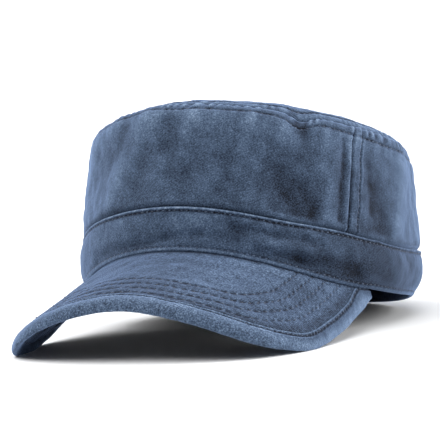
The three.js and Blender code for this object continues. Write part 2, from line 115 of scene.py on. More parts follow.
# Topstitching: distance between stitches, then a stitch's length and width, its height over the
# cloth, and how uneven that height is.
TOPSTITCH = {"pitch": 3.2, "length": 2.5, "width": 0.55, "lift": 0.12, "uneven": 0.08}
QUILTING = {"pitch": 4.8, "length": 3.0, "width": 0.65, "lift": 0.08, "uneven": 0.10}
BINDING_STITCH = {"pitch": 3.3, "length": 2.6, "width": 0.45, "lift": 0.02, "uneven": 0.06}

# Soft folds and dents, each along a line on the cloth: from angle and height, to angle and height
# (degrees, and mm over the panel's foot), width and rise in mm.
CROWN_FOLDS = [
    (-10, 42, -27, 10, 9.0, 1.2), (-22, 42, -26, 32, 7.0, -0.7), (-2, 40, -4, 33, 8.0, -0.6),
    (36, 20, 46, 8, 13.0, -2.0), (53, 42, 53, 8, 7.0, 1.3), (59.8, 46, 58.0, 6, 2.4, -0.9),
    (61.6, 44, 60.5, 8, 1.4, 0.35), (70.5, 36, 72, 14, 3.0, -0.5), (43, 50, 44, 47, 5.0, -1.8),
    (27, 46, 40, 42, 6.0, 0.8), (-45, 40, -52, 12, 9.0, 1.2), (75, 26, 77, 8, 8.0, -1.2),
    (89, 42, 86, 12, 10.0, 1.2), (112, 28, 112, 6, 14.0, 0.9), (98, 52, 122, 52, 8.0, -1.7),
    (138, 34, 146, 8, 12.0, 1.6), (-68, 38, -66, 24, 19.0, 1.2), (-80, 30, -88, 8, 9.0, -0.4),
    (-108, 38, -102, 10, 11.0, 1.4), (-150, 32, -136, 10, 12.0, -1.6),
]
BAND_FOLDS = [
    (-36, 5, -12, 5, 3.4, -0.8), (-9, 4.5, -2, 6.3, 2.0, -0.6), (-1, 6.8, 10, 9.2, 2.6, -1.0),
    (10, 10, 22, 8, 3.0, -0.5), (21, 13.6, 35, 14.8, 2.4, -0.9), (34, 14.8, 50, 17.0, 2.2, -0.8),
    (33, 9.8, 46, 11.2, 3.0, 0.6), (29, 4.6, 44, 5.6, 2.6, -0.9), (43, 5.8, 64, 7.8, 4.2, -1.1),
    (25.5, 18.5, 26.5, 18, 2.4, 0.5), (30.5, 19, 31, 18.5, 2.2, 0.4), (46, 21, 47, 20, 2.4, 0.5),
    (62, 20, 63, 12, 3.0, 0.4), (68, 13, 84, 12, 9.0, 0.7), (112, 13, 128, 14, 12.0, 0.6),
    (-70, 7, -95, 11, 6.0, -1.2), (150, 9, -160, 11, 7.0, 1.0),
]
FOLD_FADE = 5.0  # folds die out over this height above a panel's foot and below the top seam

# Places painted paler, above 0, or darker, below 0. On the crown there is painted shade in the
# shadowed folds behind the side seam on the wearer's left, and painted light on the top-lit
# shoulder. On the band there is painted shade on its side on the wearer's left. Elsewhere they are
# patches of uneven tone. Each gives angle in degrees, height over the foot of the panel or band,
# reach to each side, reach up and down, and amount.
CROWN_SHADE_AND_TONE = [
    (72, 22, 6, 15, -0.55), (79, 10, 8, 9, -0.5), (56, 30, 10, 16, -0.6), (45, 17, 18, 10, -0.4),
    (62, 47, 9, 8, 0.5), (65, 14, 5, 22, -0.4), (8, 42, 26, 10, 0.35), (-2, 46, 60, 6, 0.3),
    (-25, 26, 10, 16, 0.1), (100, 30, 22, 22, 0.3), (38, 32, 26, 18, 0.15),
]
BAND_SHADE_AND_TONE = [
    (80, 12, 36, 30, -1.15), (-30, 16, 16, 6, 0.3), (12, 14, 28, 16, 0.3), (50, 10, 26, 4, -0.4),
]

# Unevenness of the flat cloth: height in mm, seed, longest and shortest wave in mm.
CROWN_WAVES = [(0.20, 11, 60, 24), (0.10, 12, 18, 8), (0.02, 13, 6, 3)]
BAND_WAVES = [(0.18, 41, 40, 16), (0.06, 42, 14, 7), (0.02, 43, 6, 3)]
LID_WAVES = [(0.12, 54, 70, 28), (0.10, 55, 20, 9), (0.03, 56, 6, 3)]
VISOR_WAVES = [(0.07, 62, 16, 7), (0.02, 63, 5, 3)]
BINDING_WAVES = [(0.06, 72, 22, 9), (0.03, 73, 8, 4)]

# Sections through sewn edges. The band's rounded lower lip and folded upper edge: distance from
# that edge and how far the face stands out.
LIP_SECTION = [
    (0.0, -1.0), (0.12, -0.45), (0.4, -0.05), (0.9, 0.2), (1.5, 0.28), (2.0, 0.2), (2.4, -0.04),
    (2.7, -0.14), (3.1, -0.1), (3.6, -0.02), (4.3, 0.0), (5.0, 0.0),
]
RIDGE_SECTION = [
    (4.0, 0.0), (3.2, -0.04), (2.7, -0.14), (2.3, -0.3), (1.95, -0.36), (1.65, -0.22),
    (1.35, 0.06), (1.05, 0.3), (0.75, 0.4), (0.45, 0.32), (0.2, 0.05), (0.06, -0.35), (0.0, -0.9),
]
# The binding over the visor's top: distance out from the flap's inner edge, and height.
FLAP_SECTION = [
    (0.0, -0.35), (0.03, 0.12), (0.2, 0.4), (0.5, 0.48), (0.8, 0.34), (1.05, 0.04), (1.3, -0.12),
    (1.6, 0.02), (1.95, 0.34), (2.35, 0.48),
]
ROLL_ROWS = [(0.33, 0.48), (0.66, 0.36)]  # then share of the way to the nose, and height
FLAP_UNDERSIDE = -0.5  # height of the inner face under both
# Then round the visor's edge: distance in from that edge and height, outer face and inner face.
NOSE_SECTION = [
    ((0.75, 0.05), (2.0, -0.6)), ((0.2, -0.45), (1.7, -0.8)), ((-0.25, -1.05), (1.45, -1.1)),
    ((-0.58, -1.75), (1.25, -1.5)), ((-0.76, -2.5), (1.15, -2.0)), ((-0.8, -3.3), (1.1, -2.6)),
    ((-0.7, -4.1), (1.1, -3.2)), ((-0.45, -4.85), (1.15, -3.8)), ((-0.02, -5.5), (1.3, -4.3)),
    ((0.6, -6.05), (1.6, -4.75)), ((1.4, -6.4), (2.0, -5.0)), ((2.3, -6.55), (2.5, -5.15)),
    ((3.1, -6.45), (3.1, -5.2)), ((3.6, -6.2), (3.6, -5.2)), ((3.9, -6.1), (3.9, -5.2)),
    ((4.2, -6.2), (4.2, -5.2)), ((4.7, -6.35), (4.6, -5.2)), ((5.1, -6.2), (5.0, -5.15)),
    ((5.3, -5.7), (5.2, -5.2)),
]

# Fineness of the grids: columns round the whole piece or along the visor's edge, and rows.
BAND_COLUMNS, BAND_ROWS = 640, 22  # the band's rows are those of its plain middle
LID_COLUMNS, LID_REACH = 560, 80.0  # and mm from the seam to the middle of the top
VISOR_COLUMNS, VISOR_SHEET_ROWS = 440, 84
# Steps in mm: coarse, fine, and how far from a seam or fold the fine ones reach.
PANEL_STEPS, CLIMB_STEPS, LID_STEPS = (0.95, 0.38, 9.0), (0.9, 0.42, 11), (2.2, 0.5, 10)
WALL = 50.0  # about the height of a crown panel's straight wall
ROUND = 12.0  # and the length of its rounded shoulder
NUDGE = 0.002  # of an angle and a share, to each side, over which the band's slope is taken
SHARP_EDGE = np.radians(62)  # edges sharper than this aren't shaded smooth
INNER_RELIEF = 0.7  # share of a crown cloth's relief that shows on its inner face
# The low tone of the inner faces is painted shade inside the cap.
CROWN_INSIDE = (-1.2, 0.5)  # tone and nap of the crown's and band's inner faces

# ------------------------------------------------------------------ form of the cap


def ring(count):
    """Angles of columns evenly round the cap, from the back."""
    return (np.arange(count) / count * 2 - 1) * np.pi


def blend(a, b, share):
    """a where share is 0, b where it is 1."""
    return a + (b - a) * share


def smooth(share):
    """Rises from 0 to 1 with a level start and end."""
    s = np.clip(share, 0, 1)
    return s * s * (3 - 2 * s)


def bell(offset, width):
    """exp(-(offset / width) squared)."""
    return np.exp(-((offset / width) ** 2))


def turned(angle, at):
    """Degrees from at to an angle in radians, within half a turn either way."""
    return (np.degrees(angle) - at + 180) % 360 - 180


def swell(angle, row):
    """The row's rise times a bell round the row's angle."""
    return row[2] * bell(turned(angle, row[0]), row[1])


def points(x, y, z):
    """Points with these coordinates, spread over one grid."""
    return np.stack(np.broadcast_arrays(x, y, z), axis=-1).astype(float)


def unit(vectors):
    """Vectors divided by their lengths."""
    return vectors / np.maximum(np.linalg.norm(vectors, axis=-1, keepdims=True), 1e-9)


def outline(name, angle):
    """Half ellipses: x is side * sin(angle), y is minus front or plus back length * cos(angle)."""
    side, front, back = OUTLINE[name]
    reach = np.where(np.cos(angle) > 0, front, back)
    return side * np.sin(angle), -reach * np.cos(angle)


def visor_height(x, y):
    """A slope falling forward, less a drop that grows with the square and fourth power of x."""
    forward = -OUTLINE["rim"][1] - y
    drop = VISOR_BEND * x * x + VISOR_CURL * (x / CURL_REACH) ** 4
    return VISOR_ARCH - drop * (1 + VISOR_CONE * forward) - VISOR_SLOPE * forward


def rim_height(angle):
    """Follows the visor's top in front, and eases from its corner to the back's height behind."""
    turn = np.abs(angle)
    start = visor_height(*outline("rim", VISOR_CORNER))
    behind = blend(start, RIM_BACK_HEIGHT, smooth((turn - VISOR_CORNER) / (np.pi - VISOR_CORNER)))
    in_front = visor_height(*outline("rim", angle))
    return np.where(turn < VISOR_CORNER, in_front, behind + swell(turn, RIM_LIFT))


def from_front_to_back(angle, front, back):
    """Goes from one value to the other as a half wave, 0.5 - 0.5 * cos(angle)."""
    return blend(front, back, 0.5 - 0.5 * np.cos(angle))


def band_height(angle):
    """A half wave from front to back, plus the ridge's swells."""
    return from_front_to_back(angle, *BAND_HEIGHT) + sum(swell(angle, r) for r in RIDGE_LIFTS)


def seam_sag(angle, share):
    """Sum of the sags: drop times share to its power times a bell round its angle."""
    return sum(share ** row[3] * swell(angle, row) for row in SEAM_SAGS)


def top_seam_height(angle):
    """A half wave from front to back, plus sin(angle) squared times a change, less the sags."""
    level = from_front_to_back(angle, *TOP_SEAM_HEIGHT[:2])
    return level + TOP_SEAM_HEIGHT[2] * np.sin(angle) ** 2 - seam_sag(angle, 1)


def band_point(angle, share):
    """A parabola up through the rim, belly and ridge outlines; share 0 is the rim, 1 the ridge."""
    at = BELLY_AT
    weights = (
        (share - at) * (share - 1) / at,
        share * (share - 1) / (at * (at - 1)),
        share * (share - at) / (1 - at),
    )
    rows = [outline(name, angle) for name in ("rim", "belly", "ridge")]
    x, y = (sum(w * row[a] for w, row in zip(weights, rows)) for a in range(2))
    return points(x, y, rim_height(angle) + share * band_height(angle))


def crown_point(angle, share):
    """Straight from the ridge, share 0, to the shoulder, 1; then a quarter ellipse in to 2."""
    wall = np.clip(share, 0, 1)
    turn = np.clip(share - 1, 0, 1) * np.pi / 2
    ridge, shoulder, seam = (np.array(outline(n, angle)) for n in ("ridge", "shoulder", "seam"))
    x, y = blend(ridge, shoulder, wall) + (seam - shoulder) * (1 - np.cos(turn))
    foot = rim_height(angle) + band_height(angle)
    z = blend(foot, top_seam_height(angle) - SHOULDER_DROP, wall)
    return points(x, y, z + SHOULDER_DROP * np.sin(turn))


def leaned(angle, share):
    """Side seams lean back as they rise, and the cloth on both sides leans with them."""
    turn, seam = np.abs(angle), np.radians(SIDE_SEAM)
    fade = np.where(turn < seam, turn / seam, (np.pi - turn) / (np.pi - seam))
    height = np.clip(share / 2, 0, 1) - 0.5
    return angle + np.sign(angle) * np.radians(SEAM_LEAN) * height * fade


def lid_point(angle, share):
    """Top panel: from its centre to the seam, plus a dome and a roll that dies at the seam."""
    border = crown_point(angle, np.full_like(angle, 2.0))
    border = border + points(0 * angle, 0, seam_sag(angle, 1))
    side, front, back = OUTLINE["seam"]
    centre = np.array([0.0, 0.5 * (back - front), 0.5 * sum(TOP_SEAM_HEIGHT[:2])])
    place = blend(centre, border, (share * (1 - 0.5 * GAP / side))[..., None])
    roll = TOP_ROLL[0] + share**2 * swell(angle, ROLL_SWELL)
    lift = TOP_DOME[0] * (1 - share ** TOP_DOME[1]) + roll * (1 - share ** TOP_ROLL[1])
    place[..., 2] += lift - seam_sag(angle, share)
    return place


def past_seams(angle, length):
    """Distance round the ridge behind the side seam, and from the back seam towards each side."""
    turn = np.degrees(np.abs(angle))
    radius = np.hypot(OUTLINE["ridge"][0] * np.cos(angle), length * np.sin(angle))
    rear = np.radians(180 - turn) * radius
    return np.radians(turn - SIDE_SEAM) * radius, np.where(angle > 0, rear, -rear)


def fold_rise(folds, angle, height):
    """Sum over the folds of rise * exp(-(distance to the fold's line / width) squared)."""
    total = np.zeros(np.broadcast(angle, height).shape)
    for a0, h0, a1, h1, width, rise in folds:
        end, climb = np.radians((a1 - a0 + 180) % 360 - 180) * FOLD_RADIUS, h1 - h0
        u, v = np.radians(turned(angle, a0)) * FOLD_RADIUS, height - h0
        share = np.clip((u * end + v * climb) / (end**2 + climb**2), 0, 1)
        total += rise * bell(np.hypot(u - share * end, v - share * climb), width)
    return total


def shade_and_tone(places, angle, height):
    """Sum over the places of amount times a bell along the cloth and a bell up it."""
    total = np.zeros(np.broadcast(angle, height).shape)
    for at, up, beside, tall, amount in places:
        near = bell(np.radians(turned(angle, at)) * FOLD_RADIUS, beside)
        total += amount * near * bell(height - up, tall)
    return total


def waves(u, v, seed, longest, shortest, count=28):
    """Sum of plane waves with seeded directions, whole numbers of them round the cap.

    Seeds: crown 11 to 33, band 41 to 47, top 51 to 56, visor 61 to 69, binding 71 to 74.
    """
    rng = np.random.default_rng(seed)
    total = np.zeros(np.broadcast(u, v).shape)
    for _ in range(count):
        size = np.exp(rng.uniform(np.log(shortest), np.log(longest)))
        turn = rng.uniform(0, np.pi)
        across = np.round(2 * np.pi * FOLD_RADIUS / size * np.cos(turn)) / FOLD_RADIUS
        up = 2 * np.pi / size * np.sin(turn)
        total += np.cos(across * u + up * v + rng.uniform(0, 2 * np.pi))
    return total * np.sqrt(2 / count)


def crinkle(u, v, rows):
    """Sum of waves, one set for each row of height, seed, longest and shortest."""
    return sum(height * waves(u, v, *row) for height, *row in rows)


def wander(u, seed, longest, shortest, count=10):
    """Waves along one direction alone."""
    return waves(u, 0 * u, seed, longest, shortest, count)


def gathers(u, pitch, seed):
    """Uneven ripples about pitch apart: a cosine whose phase and height wander along u."""
    height = 0.65 + 0.35 * wander(u, seed + 1, 40, 10)
    return np.cos(2 * np.pi * u / pitch + 3.4 * wander(u, seed, 60, 14)) * np.clip(height, 0, 1.4)


def stitch_beads(u, pitch, seed):
    """Cloth puffed up between stitches: a cosine whose phase wanders."""
    return np.cos(2 * np.pi * u / pitch + 1.6 * wander(u, seed, 60, 12, 8))


def patchy(u, seed, middle, swing, most):
    """A strength that comes and goes along a line of stitching."""
    return np.clip(middle + swing * wander(u, seed, 9, 3, 12), 0, most)


def spread(start, end, places, step, fine, reach):
    """Positions about step apart, and about fine apart within reach of each place."""
    probe = np.linspace(start, end, 4001)
    near = np.clip(sum(np.exp(-(((probe - p) / reach) ** 4)) for p in places), 0, 1)
    density = 1 / step + (1 / fine - 1 / step) * near
    inner = 0.5 * (density[1:] + density[:-1]) * np.diff(probe)
    count = np.concatenate([[0.0], np.cumsum(inner)])
    return np.interp(np.linspace(0, count[-1], int(count[-1]) + 1), count, probe)


# ------------------------------------------------------------------ grids, relief and meshes


def differences(grid, axis, is_ring):
    """Half the step from the neighbour before to the neighbour after, closed on a ring."""
    if not is_ring:
        return np.gradient(grid, axis=axis)
    return 0.5 * (np.roll(grid, -1, axis) - np.roll(grid, 1, axis))


def normals(grid, is_ring):
    """Unit cross product of the steps round the piece and the steps up it."""
    return unit(np.cross(differences(grid, 0, is_ring), differences(grid, 1, False)))


def run(grid, axis=1):
    """Length along the grid's lines from their start, in mm."""
    steps = np.linalg.norm(np.diff(grid, axis=axis), axis=-1)
    pad = [(0, 0)] * steps.ndim
    pad[axis] = (1, 0)
    return np.pad(np.cumsum(steps, axis=axis), pad)


def along(wanted, length, path):
    """Points of a path, or its normals, at the wanted lengths."""
    return np.stack([np.interp(wanted, length, part) for part in path.T], 1)


def box_mean(values, reach, axis, is_ring):
    """Running mean over reach cells to each side."""
    pad = [(0, 0), (0, 0)]
    pad[axis] = (reach + 1, reach)
    total = np.cumsum(np.pad(values, pad, mode="wrap" if is_ring else "edge"), axis=axis)
    low = np.arange(values.shape[axis])
    high = np.take(total, low + 2 * reach + 1, axis=axis)
    return (high - np.take(total, low, axis=axis)) / (2 * reach + 1)


def standing(relief, is_ring, reach=5):
    """How far the relief stands over its own running mean: ridges are above 0, valleys below."""
    mean = relief
    for _ in range(2):
        mean = box_mean(mean, reach, 0, is_ring)
        mean = box_mean(mean, reach, 1, False)
    return relief - mean


def seat(place):
    """Tips points back about X, moves them onto the table and turns mm into metres."""
    c, s = np.cos(TILT), np.sin(TILT)
    x, y, z = place[..., 0], place[..., 1], place[..., 2]
    tipped = np.stack([x, c * y + s * z, c * z - s * y], axis=-1) + SEAT
    tipped[..., 2] = np.maximum(tipped[..., 2], 0.0)
    return tipped * 0.001


def grid_triangles(columns, rows, is_ring, flip=False, first=0):
    """Two triangles for each cell of a grid, as point numbers and as (column, row) pairs."""
    spans = columns if is_ring else columns - 1
    i, j = np.meshgrid(np.arange(spans), np.arange(rows - 1), indexing="ij")
    cell = np.stack([(i, j), (i + 1, j), (i + 1, j + 1), (i, j + 1)], axis=-1).reshape(2, -1, 4)
    order = [0, 2, 1, 0, 3, 2] if flip else [0, 1, 2, 0, 2, 3]
    pairs = cell[:, :, order].reshape(2, -1, 3)
    return first + (pairs[0] % columns) * rows + pairs[1], pairs


def add_object(name, data):
    """An object at the origin, unturned, in the scene."""
    thing = bpy.data.objects.new(name, data)
    bpy.context.scene.collection.objects.link(thing)
    return thing


def mesh_piece(name, place, faces, corners, marks):
    """Object from points in mm, triangles, cloth coordinates for their corners and marks."""
    used, faces = np.unique(faces, return_inverse=True)
    faces = faces.reshape(-1, 3)
    mesh = bpy.data.meshes.new(name)
    mesh.from_pydata(seat(place[used]), [], faces)
    mesh.polygons.foreach_set("use_smooth", np.ones(len(faces), bool))
    if corners is not None:
        layer = mesh.uv_layers.new(name="cloth")
        layer.data.foreach_set("uv", (corners * 0.001).astype(np.float32).ravel())
    for key, values in marks.items():
        layer = mesh.attributes.new(key, "FLOAT", "POINT")
        layer.data.foreach_set("value", values.ravel()[used].astype(np.float32))
    mesh.set_sharp_from_angle(angle=SHARP_EDGE)
    mesh.update()
    return add_object(name, mesh)


def shell_piece(name, outer, inner, uv, marks, inside, is_ring=False, pole=False):
    """Closed cloth shell from an outer and an inner grid of points in mm.

    The faces are the outer grid's cells, the inner grid's cells turned round, and strips that join
    the two along their free edges. uv holds the outer grid's cloth coordinates in mm, with one
    column more on a ring. marks are the outer grid's ridge, tone and nap; the inner grid has no
    ridge, and inside gives its tone and nap.
    """
    columns, rows = outer.shape[:2]
    count = columns * rows
    place = np.concatenate([outer.reshape(-1, 3), inner.reshape(-1, 3)])
    out_faces, pairs = grid_triangles(columns, rows, is_ring)
    in_faces, back = grid_triangles(columns, rows, is_ring, flip=True, first=count)
    faces, corners = [out_faces, in_faces], [uv[pairs[0], pairs[1]], uv[back[0], back[1]]]

    def strip(a, b, uv_a, uv_b):
        """Joins outer edge points a to b, in order, with the inner points behind them."""
        faces.extend([np.stack([a, b, b + count], 1), np.stack([a, b + count, a + count], 1)])
        corners.extend([np.stack([uv_a, uv_b, uv_b], 1), np.stack([uv_a, uv_b, uv_a], 1)])

    spans, top = np.arange(columns if is_ring else columns - 1), rows - 1
    low, high = spans * rows, (spans + 1) % columns * rows
    strip(high, low, uv[spans + 1, 0], uv[spans, 0])
    if not pole:
        strip(low + top, high + top, uv[spans, top], uv[spans + 1, top])
    if not is_ring:
        steps = np.arange(rows - 1)
        last = (columns - 1) * rows
        strip(steps, steps + 1, uv[0, :-1], uv[0, 1:])
        strip(last + steps + 1, last + steps, uv[-1, 1:], uv[-1, :-1])
    faces, corners = np.concatenate(faces), np.concatenate(corners)
    if pole:
        for hub in (top, count + top):
            faces[np.isin(faces, hub + np.arange(columns) * rows)] = hub
        keep = (faces != np.roll(faces, 1, axis=1)).all(axis=1)
        faces, corners = faces[keep], corners[keep]
    values = zip(marks, (0.0, *inside))
    values = [np.concatenate([mark.ravel(), np.full(count, within)]) for mark, within in values]
    return mesh_piece(name, place, faces, corners, dict(zip(("ridge", "tone", "nap"), values)))


def nap(angle):
    """How much fluff stands on the cloth: whole for 25 degrees to each side of 8, and rubbed down
    to 0.6 over the next 60.
    """
    turn = np.degrees(np.abs(angle - np.radians(8)))
    return blend(1.0, 0.6, smooth((turn - 25) / 60))


# ------------------------------------------------------------------ stitches

STITCH_STATIONS = np.array([0.12, 0.38, 0.62, 0.88])
STITCH_SIDES = 5


def trace(grid, facing, field, level):
    """Where field crosses level on each line of the grid: points, normals and line numbers."""
    above = field >= level
    cross = above[:, 1:] != above[:, :-1]
    lines = np.nonzero(cross.any(axis=1))[0]
    j = cross[lines].argmax(axis=1)
    low, high = field[lines, j], field[lines, j + 1]
    share = ((level - low) / (high - low))[:, None]
    place, normal = (blend(part[lines, j], part[lines, j + 1], share) for part in (grid, facing))
    return place, normal, lines


def stitch_middles(path, pitch, inset=0.5):
    """Distances along a path at which its stitches are centred, and the path's running length."""
    length = run(path, 0)
    count = max(int((length[-1] - 2 * inset) / pitch), 1)
    return length[-1] / 2 + (np.arange(count) - (count - 1) / 2) * pitch, length


def spindle():
    """One stitch of length 1 and radius 1: along, beside, up and arch of its points, and faces."""
    turn = 2 * np.pi * np.arange(STITCH_SIDES) / STITCH_SIDES
    swelling = np.sin(np.pi * STITCH_STATIONS) ** 0.5
    form = np.array([
        np.repeat(STITCH_STATIONS - 0.5, STITCH_SIDES),
        np.outer(swelling, np.cos(turn)).ravel(),
        np.outer(swelling, np.sin(turn)).ravel(),
        np.repeat(np.sin(np.pi * STITCH_STATIONS), STITCH_SIDES),
    ])
    start, end = form.shape[1], form.shape[1] + 1
    form = np.concatenate([form, [[-0.5, 0.5], [0, 0], [0, 0], [0, 0]]], axis=1)
    k = np.arange(STITCH_SIDES)
    ahead = (k + 1) % STITCH_SIDES
    faces = [np.stack([np.full_like(k, start), ahead, k], 1)]
    for a in range(0, (len(STITCH_STATIONS) - 1) * STITCH_SIDES, STITCH_SIDES):
        b = a + STITCH_SIDES
        faces.append(np.stack([a + k, a + ahead, b + ahead], 1))
        faces.append(np.stack([a + k, b + ahead, b + k], 1))
    last = start - STITCH_SIDES
    faces.append(np.stack([last + k, last + ahead, np.full_like(k, end)], 1))
    return form, np.concatenate(faces)


def stitch_rows(name, rows, opt, seed):
    """Thread seen between needle holes, along each row's path.

    A stitch is a slim spindle: its width goes as the root of sin over its length, and its middle
    line rises from the cloth and dips in at both ends. rows are (path, normals), opt its sizes.
    """
    rng = np.random.default_rng(seed)
    (out, side, height, arch), faces = spindle()
    shapes, links, shades = [], [], []
    total = 0
    for path, facing in rows:
        at, length = stitch_middles(path, opt["pitch"])
        count = len(at)
        at = at + rng.normal(0, 0.05 * opt["pitch"], count)
        half = 0.5 * opt["length"]
        tangent = unit(along(at + half, length, path) - along(at - half, length, path))
        up = along(at, length, facing)
        up = unit(up - (up * tangent).sum(1, keepdims=True) * tangent)
        beside = np.cross(tangent, up)
        tangent = tangent + rng.normal(0, 0.06, count)[:, None] * beside
        size = opt["length"] * rng.uniform(0.86, 1.1, count)[:, None]
        lift = opt["lift"] + rng.normal(0, opt["uneven"], count)[:, None]
        rise = lift + (0.25 + opt["width"]) * (arch[None, :] - 1)
        local = (
            tangent[:, None, :] * (out[None, :] * size)[..., None]
            + beside[:, None, :] * (side * opt["width"] / 2)[None, :, None]
            + up[:, None, :] * (height * opt["width"] * 0.4 + rise)[..., None]
        )
        shapes.append((along(at, length, path)[:, None, :] + local).reshape(-1, 3))
        firsts = total + np.arange(count) * len(out)
        links.append((faces[None] + firsts[:, None, None]).reshape(-1, 3))
        shades.append(np.repeat(rng.normal(0, 1, count), len(out)))
        total += count * len(out)
    marks = {"shade": np.concatenate(shades)}
    return mesh_piece(name, np.concatenate(shapes), np.concatenate(links), None, marks)


# ------------------------------------------------------------------ crown panels


def puffed(below, strip):
    """The padded strip between a seam and its topstitching."""
    return bell(below - 0.5 * strip, 0.36 * strip)


def pulls(u, beyond, pitch, seed):
    """Ripples that start at a line of topstitching and die away beyond it."""
    beyond = np.clip(beyond, 0, None)
    return gathers(u, pitch, seed) * smooth(beyond / 1.5) * np.exp(-beyond / 7)


def crown_relief(angle, share, climb, below, lean):
    """Folds, seam edges, felled strips, topstitching and gathers on the crown, in mm, and tone."""
    place = np.where(share > 0, lean, angle)
    height = crown_point(place, share)[..., 2] - rim_height(place) - band_height(place)
    u = angle * FOLD_RADIUS
    past = below - TOP_STRIP
    folds = fold_rise(CROWN_FOLDS, place, height)
    folds *= smooth(height / FOLD_FADE) * smooth(below / FOLD_FADE)
    seams = seam_relief(angle, climb)
    ripple = gathers(u, 5.2, 21)
    strip = puffed(below, TOP_STRIP)
    # The padded strip and the crease at the seam; the plain cloth; the topstitching's groove with
    # a ridge above it; and the pull of the thread on the cloth below.
    relief = folds + seams + strip * (0.30 + 0.55 * ripple) - 0.9 * bell(below, 0.9)
    relief += smooth(climb / 4) * smooth(below / 6) * crinkle(u, climb, CROWN_WAVES)
    relief += 0.16 * bell(past - 1.7, 1.1) - 0.62 * bell(past, 0.95) * (0.75 + 0.4 * ripple)
    relief += 0.16 * pulls(u, past, 7.5, 23)
    # Tone: painted shade, painted light and uneven tone from the places table. It is paler on
    # raised folds and on the seam's beads and strip, partly wear and partly painted light, with
    # painted shade in dents and in the seam's creases. There is painted light on the gathered
    # strip's puffs and shade between them, a paler band below the topstitching, and painted shade
    # in its groove.
    tone = shade_and_tone(CROWN_SHADE_AND_TONE, place, height) + 0.12 * folds + 0.3 * seams
    tone += strip * (0.5 * ripple - 0.1) + 0.2 * bell(np.clip(past, 0, None) - 4, 3)
    tone -= 0.8 * patchy(u, 24, 0.55, 0.6, 1.2) * bell(past, 0.9)
    return relief, tone


def seam_relief(angle, climb):
    """A creased seam, a bead on its front side and a raised strip with topstitching behind it."""
    front, back = OUTLINE["ridge"][1:]
    past, rear = past_seams(angle, np.where(np.cos(angle) > 0, front, back))
    relief = 0.14 * gathers(climb + 0 * angle, 6.5, 31) * bell(past - 2.6, 3.2)
    sway = 0.32 * wander(climb, 32, 40, 12)
    puff = 0.75 + 0.35 * wander(climb, 33, 16, 6)
    for distance, lead in ((past, 1.0), (rear, 0.8)):
        distance = distance + sway * smooth(np.abs(distance) / 2)
        beads = 0.36 * bell(distance + 1.5, 0.8) + 0.32 * bell(distance - SEAM_STRIP - 1.3, 0.8)
        plateau = smooth((distance - 0.7) / 1.2) * smooth((SEAM_STRIP + 0.2 - distance) / 1.2)
        sewn = 0.50 * bell(distance, 0.8) + 0.34 * bell(distance - SEAM_STRIP, 0.6)
        relief += lead * (beads * puff + 0.30 * plateau - sewn)
    return relief * smooth(climb / 3)


def band_face(angle, height, out):
    """The band's face at a height over the rim, moved out along its normal, with its folds."""
    share = height / band_height(angle)
    across = band_point(angle + NUDGE, share) - band_point(angle - NUDGE, share)
    up = band_point(angle, share + NUDGE) - band_point(angle, share - NUDGE)
    facing = unit(np.cross(across, up))
    rise = 1.25 * fold_rise(BAND_FOLDS, angle, height) * smooth(height / FOLD_FADE)
    return band_point(angle, share) + facing * (out + rise)[..., None], facing


def cloth_faces(base, facing, turn, relief, sunk=0.0):
    """Outer and inner face of a crown cloth, moved straight up at its seam and along its normal
    away from it; turn goes from 0 to 1 between them.
    """
    way = blend(points(0, 0, 1), facing, turn[..., None])
    return [base + way * (r - sunk)[..., None] for r in (relief, INNER_RELIEF * relief - CLOTH)]


def crown_panel(name, start, end):
    """Tucked behind the band, up the wall, over the shoulder to the top seam."""
    gap = SEAM_GAP / FOLD_RADIUS
    start, end = np.radians(start) + gap, np.radians(end) - gap
    columns = spread(start, end, [start, end], *(size / FOLD_RADIUS for size in PANEL_STEPS))
    climb_rows = spread(0.0, WALL + ROUND, [WALL + 7], *CLIMB_STEPS)
    share_rows = np.where(climb_rows < WALL, climb_rows / WALL, 1 + (climb_rows - WALL) / ROUND)
    angle, share = np.meshgrid(columns, share_rows, indexing="ij")
    lean = leaned(angle, share)
    base = crown_point(lean, share)
    climb = run(base)
    below = climb[:, -1:] - climb
    relief, tone = crown_relief(angle, share, climb, below, lean)
    behind = BAND_WALL + GAP
    hidden = behind * (1 - smooth((climb + 0.6) / 3.2))
    skin, lining = cloth_faces(base, normals(base, False), smooth(below / 3), relief, hidden)

    tuck = np.linspace(TUCK, 0.5, 6)
    foot = np.repeat(leaned(columns, 0 * columns)[:, None], len(tuck), 1)
    low, low_facing = band_face(foot, band_height(foot) - tuck, np.full(foot.shape, -behind))
    outer = np.concatenate([low, skin], 1)
    inner = np.concatenate([low - low_facing * CLOTH, lining], 1)

    uv = np.stack(np.broadcast_arrays(columns[:, None] * FOLD_RADIUS, run(outer)), -1)
    ridge, tone = (np.concatenate([0 * foot, m], 1) for m in (standing(relief, False), tone))
    marks = (ridge, tone, nap(np.concatenate([foot, lean], 1)))
    piece = shell_piece(name, outer, inner, uv, marks, CROWN_INSIDE)
    facing = normals(skin, False)
    rows = [trace(skin, facing, below, TOP_STRIP)[:2]]
    past, rear = past_seams(angle, OUTLINE["ridge"][1])
    for field in [past, rear] if start > 0 else [past] if end < 0 else []:
        sideways = (np.swapaxes(part, 0, 1) for part in (skin, facing, field))
        path, side, _ = trace(*sideways, SEAM_STRIP)
        rows.append((path[4:-18], side[4:-18]))
    return piece, rows


# ------------------------------------------------------------------ band


